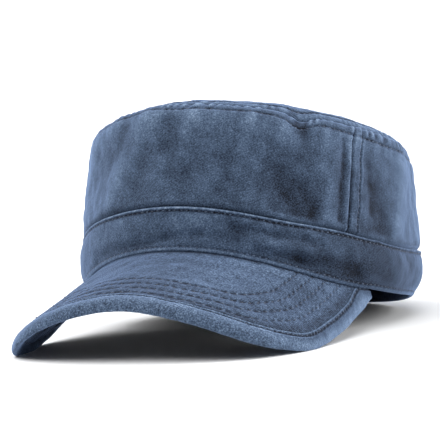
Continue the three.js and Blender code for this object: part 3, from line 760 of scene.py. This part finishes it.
def band_piece():
    """A ring of doubled twill with a stitched lip below and a folded, stitched edge above."""
    around = ring(BAND_COLUMNS)
    tall = band_height(around)[:, None]
    lip, edge = np.array(LIP_SECTION), np.array(RIDGE_SECTION)
    middle = np.linspace(0, 1, BAND_ROWS)[None, 1:-1]
    low = np.broadcast_to(lip[:, 0], (BAND_COLUMNS, len(lip)))
    mid = blend(lip[-1, 0], tall - edge[0, 0], middle)
    height = np.concatenate([low, mid, tall - edge[:, 0]], 1)
    out = np.concatenate([lip[:, 1], np.zeros(middle.size), edge[:, 1]])
    angle = np.repeat(around[:, None], height.shape[1], 1)
    u = angle * FOLD_RADIUS
    under = tall - height
    seam = np.radians(180 - np.degrees(np.abs(angle))) * OUTLINE["ridge"][0]
    quiet = smooth((height - 3) / 3) * smooth((under - 2) / 3)
    # The face stands out by its sections; beads lie between the stitches of both edges; the folded
    # edge pulls the cloth below it; and the ring is closed by a seam at the back.
    beads = 0.12 * stitch_beads(u, 3.14, 44) + 0.07 * wander(u, 46, 14, 5)
    relief = out + quiet * crinkle(u, height, BAND_WAVES)
    relief += beads * (bell(under - 0.9, 1.1) + 0.6 * bell(height - 1.6, 1.2))
    relief += 0.16 * gathers(u, 6.0, 45) * smooth((under - 2) / 1.2) * np.exp(-under / 4)
    relief += 0.2 * bell(seam - 1.6, 0.9) - 0.6 * bell(seam, 0.7)
    outer, _ = band_face(angle, height, relief)
    rounded = 0.9 * (1 - smooth(np.minimum(height, under) / 0.6))
    inner, _ = band_face(angle, height, rounded - BAND_WALL)
    over_visor = np.abs(around) < VISOR_CORNER
    for grid in (outer, inner):
        x, y, z = (grid[..., axis] for axis in range(3))
        lifted = blend(z, np.maximum(z, visor_height(x, y) + GAP), bell(height, 2.0))
        grid[over_visor, :, 2] = lifted[over_visor]
    ends = np.concatenate([around, [np.pi]])[:, None] * FOLD_RADIUS
    uv = np.stack(np.broadcast_arrays(ends, np.concatenate([height, height[:1]])), -1)
    # Tone: painted shade in the creases of the band's folds and light on their raised parts,
    # painted shade on the band's side on the wearer's left, and patches of uneven tone.
    tone = 0.4 * fold_rise(BAND_FOLDS, angle, height) + shade_and_tone(BAND_SHADE_AND_TONE, angle, height)
    worn = patchy(u, 47, 0.7, 0.7, 1.8) * (0.3 + 0.7 * nap(angle))
    # Pale wear along the folded top edge; painted shade in the groove of the upper stitching; a
    # painted highlight on the lip, painted shade in the groove of its stitching, and painted shade
    # where the band meets the visor.
    tone += 0.45 * worn * bell(under - 0.75, 0.5) - 1.0 * bell(under - RIDGE_STITCH, 0.7)
    tone += 0.15 * bell(height - 1.5, 0.7) - 0.6 * bell(height - LIP_STITCH, 0.5)
    tone -= 1.2 * bell(height, 0.45)
    marks = (standing(relief, True), tone, nap(angle))
    piece = shell_piece("band_cloth", outer, inner, uv, marks, CROWN_INSIDE, True)
    facing = normals(outer, True)
    fields = ((height, LIP_STITCH), (-under, -RIDGE_STITCH))
    return piece, [trace(outer, facing, *field)[:2] for field in fields]


# ------------------------------------------------------------------ top panel


def lid_piece():
    """A shallow dome whose rolled border is gathered and topstitched beside the seam."""
    around = ring(LID_COLUMNS)
    inward = spread(0.0, LID_REACH, [0, 5], *LID_STEPS)
    angle, share = np.meshgrid(around, 1 - inward / LID_REACH, indexing="ij")
    share = np.clip(share, 0, 1)
    base = lid_point(angle, share)
    facing = normals(base, True)
    facing[:, -1] = facing[:, -2].mean(axis=0)
    below = run(base)
    past = below - LID_STRIP
    u = angle * FOLD_RADIUS
    ripple = gathers(u, 5.6, 51)
    strip = puffed(below, LID_STRIP)
    # The padded strip and the crease at the seam, the groove of the topstitching with a ridge
    # beyond it, the pull of its thread, and the plain cloth.
    relief = strip * (0.30 + 0.45 * ripple) - 0.8 * bell(below, 0.9)
    relief += 0.14 * bell(past - 1.6, 1.0) - 0.5 * bell(past, 0.6) + 0.25 * pulls(u, past, 8.0, 53)
    relief += smooth(below / 10) * crinkle(base[..., 0], base[..., 1], LID_WAVES)
    near_seam = smooth(below / 4)
    skin, lining = cloth_faces(base, facing, near_seam, relief)
    outward = base[:, :1] - base[:, 3:4]
    outward[..., 2] = 0
    outward = unit(outward)
    lining -= ALLOWANCE_WALL * (1 - near_seam)[..., None] * outward

    down, up = CLOTH + ALLOWANCE_DEPTH, points(0, 0, 1)
    rows = 2 - np.array(ALLOWANCE_ROWS) / ROUND
    behind = crown_point(*np.meshgrid(around, rows, indexing="ij"))
    behind_facing = normals(behind, True)
    low = behind - behind_facing * down
    corner = base[:, :1] - up * (down + 0.2)
    outer = np.concatenate([low, corner, skin], 1)
    under = [low - behind_facing * ALLOWANCE_WALL, corner - ALLOWANCE_WALL * (up + outward)]
    inner = np.concatenate([*under, lining], 1)

    hidden = np.zeros((LID_COLUMNS, len(rows) + 1))
    uv = np.concatenate([outer[..., :2], outer[:1, :, :2]])
    # Painted light on the gathered strip's puffs and shade between them, and painted shade in the
    # topstitching's groove.
    tone = 0.4 * ripple * strip - 0.8 * bell(past, 0.8)
    shown = (standing(relief, True), tone, nap(angle))
    marks = [np.concatenate([hidden + a, b], 1) for a, b in zip((0.0, *CROWN_INSIDE), shown)]
    piece = shell_piece("top_cloth", outer, inner, uv, marks, CROWN_INSIDE, True, pole=True)
    return piece, [trace(skin, normals(skin, True), below, LID_STRIP)[:2]]


# ------------------------------------------------------------------ visor and binding


def visor_curve():
    """The visor's outer edge in plan: a centripetal Catmull-Rom curve through its rows."""
    half = np.array([(a, -f) for a, f in VISOR_EDGE])
    spine = np.concatenate([half[::-1], half[1:] * [-1, 1]])
    spine = np.concatenate([[2 * spine[0] - spine[1]], spine, [2 * spine[-1] - spine[-2]]])
    t = np.linspace(0, 1, 120, endpoint=False)[:, None]
    parts = []
    for k in range(1, len(spine) - 2):
        p0, p1, p2, p3 = spine[k - 1 : k + 3]
        d0, d1, d2 = (np.sqrt(np.linalg.norm(b - a)) for a, b in ((p0, p1), (p1, p2), (p2, p3)))
        m1 = ((p1 - p0) / d0 - (p2 - p0) / (d0 + d1) + (p2 - p1) / d1) * d1
        m2 = ((p2 - p1) / d1 - (p3 - p1) / (d1 + d2) + (p3 - p2) / d2) * d1
        cubic = (-3 * p1 + 3 * p2 - 2 * m1 - m2) * t**2 + (2 * p1 - 2 * p2 + m1 + m2) * t**3
        parts.append(p1 + m1 * t + cubic)
    return np.concatenate(parts + [spine[-2:-1]])


def visor_columns(count):
    """Edge points, ways in, room in to the band, rim angles and distances along the edge."""
    line = visor_curve()
    side, front = OUTLINE["rim"][:2]

    def rim_distance(p):
        """How far outside the rim's front ellipse a point lies, on the line from its centre."""
        x, y = p[..., 0], p[..., 1]
        return (1 - 1 / np.hypot(x / side, y / front)) * np.hypot(x, y)

    length = run(line, 0)
    clear = np.nonzero(rim_distance(line) >= CORNER_CLEAR)[0][0]
    at = np.linspace(length[clear], length[-1] - length[clear], count)
    edge = along(at, length, line)
    tangent = unit(np.gradient(edge, axis=0))
    inward = np.stack([tangent[:, 1], -tangent[:, 0]], 1)
    inward *= np.where((inward * edge).sum(1) > 0, -1, 1)[:, None]
    room = rim_distance(edge) + UNDER_BAND
    last = np.arctan2(edge[0, 0] / side, -edge[0, 1] / front)
    return edge, inward, room, np.linspace(last, -last, count), at


def edge_distance(x, y, edge):
    """Distance in plan from each point to the visor's outer edge, one column at a time."""
    gaps = (np.hypot(a[:, None] - edge[:, 0], b[:, None] - edge[:, 1]) for a, b in zip(x, y))
    return np.array([gap.min(axis=1) for gap in gaps])


def from_middle(at):
    """Distance along the edge from its middle: below 0 on the wearer's left, above on the right."""
    return at - 0.5 * (at[0] + at[-1])


def from_end(at):
    """Distance along the edge from its nearer end."""
    return np.minimum(at - at[0], at[-1] - at)


def flap_width(at, room):
    """Width of the binding's upper flap: broad in front, least at the corners, more at the ends."""
    away = np.abs(from_middle(at))
    front, corner, end = FLAP_WIDTH
    wanted = blend(front, corner, smooth((away - 62) / 45))
    return np.minimum(wanted + (end - corner) * smooth((away - 152) / 18), room)


def end_depth(at):
    """The visor and its binding thin out where their ends run in under the band."""
    return blend(0.55, 1.0, smooth(from_end(at) / 13))[:, None]


def side_depth(at, across):
    """How much deeper the visor's edge is at its sides than in front, near the outer edge."""
    away = from_middle(at)[:, None]
    left = LEFT_ROLL * smooth((np.abs(away) - 50) / 50)
    right = RIGHT_ROLL["swell"] * bell(np.abs(away) - RIGHT_ROLL["at"], RIGHT_ROLL["width"])
    right -= RIGHT_ROLL["thinner"] * smooth((np.abs(away) - RIGHT_ROLL["thin_from"]) / 25)
    return 1 + np.where(away < 0, left, right) * (1 - smooth((across - 2.0) / 2.4))


def visor_piece():
    """A stiff sheet in twill, quilted by rows of stitching along its edge."""
    edge, inward, room, rim_angle, at = visor_columns(VISOR_COLUMNS)
    flap = flap_width(at, room)
    rim = np.stack(outline("rim", rim_angle), 1)
    root = rim * (1 - BAND_WALL / np.linalg.norm(rim, axis=1, keepdims=True))
    grip = edge + inward * (flap + 0.6)[:, None]
    share = np.linspace(0, 1, VISOR_SHEET_ROWS)
    body = blend(root[:, None], grip[:, None], share[None, :, None])
    steps = [(flap + 0.2, 1), (0.7 * flap + 0.2, 1), (np.minimum(1.3, 0.5 * flap), 2)]
    lap = [edge + inward * reach[:, None] for reach, _ in steps]
    plan = np.concatenate([body, np.stack(lap, 1)], 1)
    press = np.concatenate([np.zeros(len(share)), [k * BINDING_STEP for _, k in steps]])
    x, y = plan[..., 0], plan[..., 1]
    top = points(x, y, visor_height(x, y))
    facing = normals(top, False)
    inside = edge_distance(x, y, edge)
    from_root = run(top)
    ripple = gathers(at, 4.8, 61)[:, None]
    relief = np.zeros(x.shape)
    # Painted shade along the root, under the band's edge, and a little paler further out.
    tone = 0.4 * bell(from_root - BAND_WALL - 5, 4) - 1.4 * bell(from_root - BAND_WALL - 0.4, 0.8)
    plain = 1 - 0.7 * smooth((np.abs(x) - 42) / 24)
    for number, row in enumerate(VISOR_ROWS):
        # A groove, deepest where a stitch lies, and puffed cloth between the stitches. The tone
        # darkens the groove where a stitch sinks, painted shade, and lightens the row between the
        # stitches.
        past = inside - row
        path, _, lines = trace(top, facing, -inside, -row)
        middles, length = stitch_middles(path, QUILTING["pitch"])
        off = np.abs(length[:, None] - middles[None, :]).min(axis=1)
        sunk = np.interp(np.arange(len(at)), lines, smooth((1.9 - off) / 0.8))[:, None]
        broken = patchy(at, 66 + number, 0.6, 0.9, 1.5)[:, None]
        groove = bell(past, 0.7) * blend(1.0, broken, smooth((-x - 25) / 30))
        relief += 0.06 * bell(past - 2.4, 1.5) * (1 + 0.6 * ripple) - groove * (0.08 + 0.20 * sunk)
        tone += 0.55 * bell(past, 0.8) * (1 - sunk) * (0.6 + 0.4 * ripple)
        tone -= 1.5 * plain * groove * sunk
    # Darker over the quilting; painted shadow of the binding's flap beside it, weaker towards the
    # wearer's right; paler on the wearer's left.
    quilted = smooth((inside - VISOR_ROWS[0]) / 4) * smooth((VISOR_ROWS[-1] + 3 - inside) / 5)
    flap_shadow = bell(inside - flap[:, None] - 1.2, 2.4) * (0.35 + 0.65 * smooth((x + 20) / 50))
    tone += 0.45 * smooth((x - 12) / 25) * (inside > 0) - 0.32 * quilted - 0.9 * flap_shadow
    relief += crinkle(x, y, VISOR_WAVES) + 0.18 * waves(x, y, 64, 60, 30) * smooth(from_root / 12)
    ease = smooth((inside - flap[:, None]) / 1.5)
    relief *= ease * smooth(from_root / 6)
    moved, up = facing * relief[..., None], points(0, 0, 1)
    outer = top + moved - up * press[:, None]
    thick = VISOR_THICK * end_depth(at) * np.minimum(side_depth(at, inside), 1)
    inner = top - moved - up * (thick - press)[..., None]
    marks = (standing(relief, False), tone * ease, blend(1.0, 0.85, smooth((x - 20) / 40)))
    # The underside's tone, -3.2, is painted shade: near black.
    piece = shell_piece("visor_cloth", outer, inner, plan, marks, (-3.2, 0.0))
    faces = ((outer, facing), (inner, -normals(inner, False)))
    loops = []
    for level in VISOR_ROWS:
        for face in faces:
            loops.append(trace(*(g[:, : len(share)] for g in (*face, -inside)), -level)[:2])
    return piece, loops


def binding_section(flap, face):
    """Distance in from the visor's edge and height over its top, for the outer or inner face."""
    last, start = flap - FLAP_SECTION[-1][0], NOSE_SECTION[0][face][0]
    rows = [(flap - out, height) for out, height in FLAP_SECTION]
    rows += [(blend(last, start, share), height) for share, height in ROLL_ROWS]
    if face == 1:
        rows = [(reach, FLAP_UNDERSIDE) for reach, _ in rows]
    rows += [(np.full_like(flap, row[face][0]), row[face][1]) for row in NOSE_SECTION]
    return np.stack([reach for reach, _ in rows], 1), np.array([[rise for _, rise in rows]])


def binding_piece():
    """A bias strip folded round the visor's edge, its flaps held by one row of stitching."""
    edge, inward, room, _, at = visor_columns(2 * VISOR_COLUMNS)
    flap = flap_width(at, room)
    away = from_middle(at)[:, None]
    lower_share = np.minimum(1, room / NOSE_SECTION[-1][0][0])[:, None]
    sections = [binding_section(flap, face) for face in range(2)]
    tip = bell(away - TIP_ROLL["at"], TIP_ROLL["width"])
    out, low = sections[0]
    fatter = smooth((-low - 1.6) / 3.5) * (1 - smooth((out - 2.2) / 2.6)) * TIP_ROLL["inward"] * tip
    grids = []
    for across, heights in sections:
        heights = heights * np.where(heights < -1, side_depth(at, across), 1)
        across = np.where(heights < -1, across * lower_share, across)
        across = np.where(across > 0, across, across * end_depth(at))
        heights = np.where(heights < -1, heights * end_depth(at), heights)
        ceiling = blend(0.05, 1.0, smooth((room[:, None] - UNDER_BAND - across) / 1.6))
        x, y = np.moveaxis(edge[:, None] + inward[:, None] * across[..., None], -1, 0)
        z = visor_height(x, y) + np.minimum(heights, ceiling)
        grids.append(points(x, y, z) + fatter[..., None] * points(*inward.T, 0)[:, None])
    outer, inner = grids
    around = run(outer)
    u = at[:, None]
    quiet = smooth(around / 0.8) * smooth((around[:, -1:] - around) / 0.8)
    quiet *= smooth((from_end(at)[:, None] - 2) / 12)
    beads = 0.07 * stitch_beads(u, BINDING_STITCH["pitch"], 71) * bell(around - FLAP_STITCH, 1.4)
    relief = quiet * (crinkle(u, around, BINDING_WAVES) + beads)
    outer = outer + normals(outer, False) * relief[..., None]
    uv = np.stack(np.broadcast_arrays(u, around), -1)
    ridge = 0.5 * relief
    # On the flap the ridge mark follows its section: a painted highlight on the bead and painted
    # shade in the groove.
    flap_rows = slice(0, len(FLAP_SECTION))
    ridge[:, flap_rows] += (np.array(FLAP_SECTION)[:, 1] - 0.3) * smooth(around[:, flap_rows] / 0.3)
    side = smooth((np.abs(away) - 70) / 50)
    far_side = smooth((away - 55) / 50)
    # Painted highlight on the flap's edge bead, stronger at the sides; painted light on top in
    # front and on the nose at the sides; paler on the wearer's right; painted shade in the groove
    # of the stitching, on the turned-in lower edge and low on the nose on the wearer's right, with
    # painted light low on the nose near the tip there.
    front_top_light = 0.36 * (1 - smooth((around - 6.0) / 4.0)) + 0.08
    side_nose_light = 1.2 * smooth((around - 3.2) / 5.5) - 0.35
    tone = 0.25 * bell(around - 0.95, 0.6) - 1.0 * bell(around - FLAP_STITCH - 0.2, 0.95)
    tone += blend(front_top_light, side_nose_light, side) + 0.06 * waves(u, around, 74, 9, 4)
    tone += 0.5 * bell(around - 0.95, 0.7) * side + 0.65 * far_side * (1 - 0.5 * side_nose_light)
    tone[:, -3:] -= 2.0
    tone[:, -9:] -= 3.0 * far_side
    tone[:, -9:-5] += 2.6 * tip
    fluff = blend(1.0, 0.45 + 0.3 * far_side, smooth((np.abs(away) - 80) / 50)) + 0 * ridge
    piece = shell_piece("binding_cloth", outer, inner, uv, (ridge, tone, fluff), (-0.4, 0.0))
    return piece, [trace(outer, normals(outer, False), around, FLAP_STITCH)[:2]]


# ------------------------------------------------------------------ materials

# The darkest stops are reached mostly where the tone mark paints shade.
TWILL_COLOURS = [
    (0.0, "#0c1019"), (0.08, "#1b2433"), (0.3, "#313e51"), (0.55, "#4a5b73"), (0.8, "#6a7d96"),
    (1.0, "#95a6bb"),
]
# Patterns of the cloth: size of a lump in mm, detail and roughness, and for dye its weight.
DYE_CLOUDS, DYE_BLOTCHES, DYE_MOTTLE = (40, 2.0, 0.5), (11, 3.0, 0.6), (3.0, 3.0, 0.65)
DYE_WEIGHTS = np.array([0.22, 0.16, 0.24])
TONE_WEIGHT = 0.30
RIB_TURN = 57  # degrees between the twill's ribs and the cloth's length
RIB_SPACING = 1.1  # mm
RIB_SCALE = 1000 / RIB_SPACING / 20 * 2 * np.pi  # bands at scale 1 repeat every 2 pi / 20 m
MULTIPLY_ADD = ("ShaderNodeMath", {"operation": "MULTIPLY_ADD"})  # first * second + third


def linear(code):
    """An sRGB hex colour as linear red, green, blue and alpha."""
    srgb = np.array([int(code[i : i + 2], 16) for i in (1, 3, 5)]) / 255
    flat = np.where(srgb <= 0.04045, srgb / 12.92, ((srgb + 0.055) / 1.055) ** 2.4)
    return (*flat.tolist(), 1.0)


def put(tree, kind, settings=None, inputs=None):
    """Adds a node, sets its settings, and links or fills its inputs."""
    node = tree.nodes.new(kind)
    for key, value in (settings or {}).items():
        setattr(node, key, value)
    for key, value in (inputs or {}).items():
        if isinstance(value, bpy.types.NodeSocket):
            tree.links.new(value, node.inputs[key])
        else:
            node.inputs[key].default_value = value
    return node


def start_material(name, lumps, marks=()):
    """A new material and what it mixes: patterns in the object's coordinates and mesh marks.

    lumps are the patterns' (size in mm, detail, roughness), marks the names of values on the mesh.
    """
    material = bpy.data.materials.new(name)
    material.use_nodes = True
    tree = material.node_tree
    tree.nodes.clear()
    place = put(tree, "ShaderNodeTexCoord").outputs["Object"]
    values = []
    for size, detail, roughness in lumps:
        inputs = {"Vector": place, "Scale": 1000 / size, "Detail": detail, "Roughness": roughness}
        values.append(put(tree, "ShaderNodeTexNoise", {}, inputs).outputs["Fac"])
    for mark in marks:
        values.append(put(tree, "ShaderNodeAttribute", {"attribute_name": mark}).outputs["Fac"])
    return material, tree, values


def fill_ramp(ramp, stops):
    """Gives a colour ramp its stops, each a place from 0 to 1 and a hex colour."""
    elements = ramp.color_ramp.elements
    while len(elements) < len(stops):
        elements.new(1.0)
    for element, (at, code) in zip(elements, stops):
        element.position = at
        element.color = linear(code)


def washed_twill(name, lift, speckle, grain_size, ridge_gain, uneven=1.0, bias=1.0, rib=0.05):
    """Pigment-dyed cotton twill after washing: matt and mottled, pale where folds and edges rub.

    Broad clouds come from uneven dye, the fine grain from fluffed fibres, and faint slanting lines
    from the twill's ribs, drawn 1.1 mm apart because the real 0.5 mm is too fine to show. The
    colour is a ramp over the sum of all patterns and marks, each times its weight; the tone mark
    carries painted light and shade.
    """
    lumps = [DYE_CLOUDS, DYE_BLOTCHES, DYE_MOTTLE, (grain_size, 1.0, 0.7)]
    material, tree, values = start_material(name, lumps, ("ridge", "tone", "nap"))
    clouds, blotches, mottle, grain, ridge, tone, fluff = values
    cloth = put(tree, "ShaderNodeUVMap", {"uv_map": "cloth"}).outputs["UV"]
    turn = {"Vector": cloth, "Rotation": (0, 0, np.radians(RIB_TURN * bias))}
    slanted = put(tree, "ShaderNodeMapping", {}, turn).outputs[0]
    ribs = put(
        tree,
        "ShaderNodeTexWave",
        {"wave_type": "BANDS", "bands_direction": "X"},
        {"Vector": slanted, "Scale": RIB_SCALE, "Distortion": 3.0, "Detail": 2.0,
         "Detail Scale": 1.5},
    ).outputs["Fac"]
    speckles = put(tree, *MULTIPLY_ADD, {0: grain, 1: speckle, 2: -0.5 * speckle}).outputs[0]
    dye = uneven * DYE_WEIGHTS
    shade = lift - 0.5 * (dye.sum() + rib)
    shares = [*zip((clouds, blotches, mottle), dye), (fluff, speckles), (ribs, rib)]
    for pattern, weight in [*shares, (ridge, ridge_gain), (tone, TONE_WEIGHT)]:
        shade = put(tree, *MULTIPLY_ADD, {0: pattern, 1: weight, 2: shade}).outputs[0]
    ramp = put(tree, "ShaderNodeValToRGB", {}, {"Fac": shade})
    fill_ramp(ramp, TWILL_COLOURS)
    fuzz = 0.0
    for pattern, weight in ((mottle, 0.8), (grain, 0.6), (ribs, 0.35)):
        fuzz = put(tree, *MULTIPLY_ADD, {0: pattern, 1: weight, 2: fuzz}).outputs[0]
    fuzz = {"Height": fuzz, "Strength": 0.55, "Distance": 0.00035}
    shader = put(tree, "ShaderNodeBsdfPrincipled", {}, {
        "Base Color": ramp.outputs["Color"],
        "Roughness": 0.92,
        "IOR": 1.45,
        "Specular IOR Level": 0.25,
        "Sheen Weight": 1.0,
        "Sheen Roughness": 0.35,
        "Sheen Tint": linear("#9db9e8"),
        "Normal": put(tree, "ShaderNodeBump", {}, fuzz).outputs[0],
    })
    put(tree, "ShaderNodeOutputMaterial", {}, {"Surface": shader.outputs[0]})
    return material


def sewing_thread(name, dark, light):
    """Polyester-cotton sewing thread: keeps its dye in the wash, with a slight gloss.

    Each stitch has its own shade, mottled every 0.9 mm, and its twisted plies are 0.4 mm apart.
    """
    lumps = [(0.9, 2.0, 0.6), (0.4, 2.0, 0.5)]
    material, tree, (mottle, plies, stitch) = start_material(name, lumps, ("shade",))
    shade = put(tree, *MULTIPLY_ADD, {0: stitch, 1: 0.18, 2: mottle}).outputs[0]
    ramp = put(tree, "ShaderNodeValToRGB", {}, {"Fac": shade})
    fill_ramp(ramp, [(0.2, dark), (0.9, light)])
    twist = {"Height": plies, "Strength": 0.4, "Distance": 0.0001}
    shader = put(tree, "ShaderNodeBsdfPrincipled", {}, {
        "Base Color": ramp.outputs["Color"],
        "Roughness": 0.62,
        "IOR": 1.5,
        "Sheen Weight": 0.2,
        "Normal": put(tree, "ShaderNodeBump", {}, twist).outputs[0],
    })
    put(tree, "ShaderNodeOutputMaterial", {}, {"Surface": shader.outputs[0]})
    return material


def matt_paper(name, code):
    """Pale seamless paper, matt, with a barely uneven tone in patches 400 mm across."""
    material, tree, (patches,) = start_material(name, [(400, 2.0, 0.5)])
    ramp = put(tree, "ShaderNodeValToRGB", {}, {"Fac": patches})
    fill_ramp(ramp, [(0.0, code), (1.0, "#ffffff")])
    look = {"Base Color": ramp.outputs["Color"], "Roughness": 0.9, "Specular IOR Level": 0.1}
    shader = put(tree, "ShaderNodeBsdfPrincipled", {}, look)
    put(tree, "ShaderNodeOutputMaterial", {}, {"Surface": shader.outputs[0]})
    return material


# ------------------------------------------------------------------ building the cap


def dress(piece, material, slot, *nodes):
    """Gives a piece its material, attaches it to the root body and hides the parts it stands for;
    slot is not used.
    """
    piece.data.materials.append(material)
    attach(piece, "root")
    if nodes:
        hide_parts(*nodes)
    return piece


def sew(made, twill, slot, name, thread, stitch, seed):
    """Dresses cloths, given as piece, stitched rows and part replaced, and adds their stitching."""
    for piece, _, node in made:
        dress(piece, twill, slot, node)
    rows = [row for _, piece_rows, _ in made for row in piece_rows]
    return dress(stitch_rows(name, rows, stitch, seed), thread, slot)


crown_twill = washed_twill("washed cotton twill", 0.37, 0.82, 0.75, 0.40)
visor_twill = washed_twill("washed visor twill", 0.23, 1.6, 0.9, 0.40, uneven=0.8, rib=0.14)
binding_twill = washed_twill("washed bias binding", 0.425, 1.3, 0.8, 0.60, uneven=0.5, bias=0.8)
navy_thread = sewing_thread("sewing thread", "#1d283a", "#3a4a63")
faded_thread = sewing_thread("faded sewing thread", "#2c3950", "#4f627d")
band_thread = sewing_thread("worn sewing thread", "#283449", "#465873")

crown = [
    (*crown_panel("front_cloth", -SIDE_SEAM, SIDE_SEAM), "front_panel"),
    (*crown_panel("back_cloth_left", SIDE_SEAM, 180.0), "back_panel_left"),
    (*crown_panel("back_cloth_right", -180.0, -SIDE_SEAM), "back_panel_right"),
    (*lid_piece(), "top_panel"),
]
crown_stitching = sew(
    crown, crown_twill, "washed_twill", "crown_stitching", faded_thread, TOPSTITCH, 81
)
band_stitching = sew(
    [(*band_piece(), "band")],
    crown_twill, "washed_twill", "band_stitching", band_thread, TOPSTITCH, 82,
)
visor_stitching = sew(
    [(*visor_piece(), "visor")],
    visor_twill, "visor_twill", "visor_stitching", navy_thread, QUILTING, 83,
)
binding_stitching = sew(
    [(*binding_piece(), "visor_binding")],
    binding_twill, "binding_twill", "binding_stitching", faded_thread, BINDING_STITCH, 84,
)

# Each sheet as it was cut, before sewing: width and length in mm, area in mm2, how it is held, what
# holds it and the stitching that goes with it. The band is measured as it lies, doubled.
CUTS = {
    "front_cloth": ((203, 70), 12900, "stretched", ["band_cloth"], [crown_stitching]),
    "back_cloth_left": ((197, 72), 12300, "stretched", ["band_cloth"], []),
    "back_cloth_right": ((197, 72), 12300, "stretched", ["band_cloth"], []),
    "top_cloth": ((169, 178), 23600, "stretched", ["front_cloth"], []),
    "band_cloth": ((28, 597), 16700, "folded", ["front_cloth"], [band_stitching]),
    "visor_cloth": ((195, 125), 14700, "stretched", ["band_cloth"], [visor_stitching]),
    "binding_cloth": ((27, 377), 7700, "folded", ["visor_cloth"], [binding_stitching]),
}
for piece_name, (flat, area, held, holder, stitching) in CUTS.items():
    flat = (flat[0] * 0.001, flat[1] * 0.001)

# ------------------------------------------------------------------ table, light and camera

SWEEP_START = 2.0  # metres behind the cap, where the paper begins to rise
SWEEP_RISE = 0.012
SWEEP_TURN = 0.44  # radians from +Y to the way the paper climbs, which is away from the camera
TABLE_SINK = 0.0002  # metres from the cap's lowest points down to the paper
# Broad suns, the same over the whole table: where each comes from, strength, breadth in degrees.
SUNS = {
    "overhead_light": ((-0.10, -0.22, 1.0), 2.6, 75),
    "right_light": ((0.9, 0.5, 0.36), 3.0, 50),
    "left_light": ((-0.9, -0.1, 0.75), 2.0, 50),
}
SKY_STRENGTH = 0.22
CAMERA_AT = np.radians([25.21, 4.375, -3.55])  # round the cap, above the table, and its roll
CAMERA_DISTANCE = 1.5424
CAMERA_TARGET = np.array([-0.01125, 0.01487, 0.05505])
CAMERA_LENS, CAMERA_SENSOR = 242.5, 36.0


def table_piece():
    """Level paper, 30 m by 40 m, that far off climbs with the square of its distance past the
    sweep's start.
    """
    x, y = np.meshgrid(np.linspace(-15, 15, 41), np.linspace(-15, 25, 61), indexing="ij")
    past = np.clip(y * np.cos(SWEEP_TURN) - x * np.sin(SWEEP_TURN) - SWEEP_START, 0, None)
    z = SWEEP_RISE * past**2 - TABLE_SINK
    faces, _ = grid_triangles(*x.shape, False)
    mesh = bpy.data.meshes.new("table")
    mesh.from_pydata(np.stack([x, y, z], -1).reshape(-1, 3), [], faces)
    mesh.polygons.foreach_set("use_smooth", np.ones(len(faces), bool))
    mesh.materials.append(matt_paper("white paper", "#f4f5f6"))
    return add_object("table", mesh)


table_piece()

for sun_name, (toward, strength, breadth) in SUNS.items():
    light = bpy.data.lights.new(sun_name, "SUN")
    light.energy = strength
    light.angle = np.radians(breadth)
    holder = add_object(sun_name, light)
    holder.rotation_mode = "QUATERNION"
    holder.rotation_quaternion = Vector(toward).to_track_quat("Z", "Y")

world = bpy.data.worlds.new("studio")
bpy.context.scene.world = world
world.use_nodes = True
sky = world.node_tree
sky.nodes.clear()
glow = put(sky, "ShaderNodeBackground", {}, {"Color": (1, 1, 1, 1), "Strength": SKY_STRENGTH})
put(sky, "ShaderNodeOutputWorld", {}, {"Surface": glow.outputs[0]})

azimuth, elevation, roll = CAMERA_AT
flat_back = np.cos(elevation) * points(np.sin(azimuth), -np.cos(azimuth), 0)
back = flat_back + points(0, 0, np.sin(elevation))
right = points(np.cos(azimuth), np.sin(azimuth), 0)
up = np.cross(back, right)
across = np.cos(roll) * right + np.sin(roll) * up
upright = -np.sin(roll) * right + np.cos(roll) * up
pose = np.eye(4)
pose[:3, :3] = np.stack([across, upright, back], axis=1)
pose[:3, 3] = CAMERA_TARGET + CAMERA_DISTANCE * back
camera_data = bpy.data.cameras.new("camera")
camera_data.lens = CAMERA_LENS
camera_data.sensor_width = CAMERA_SENSOR
camera = add_object("camera", camera_data)
camera.matrix_world = Matrix(pose.tolist())
bpy.context.scene.camera = camera
bpy.context.scene.view_settings.view_transform = "Standard"
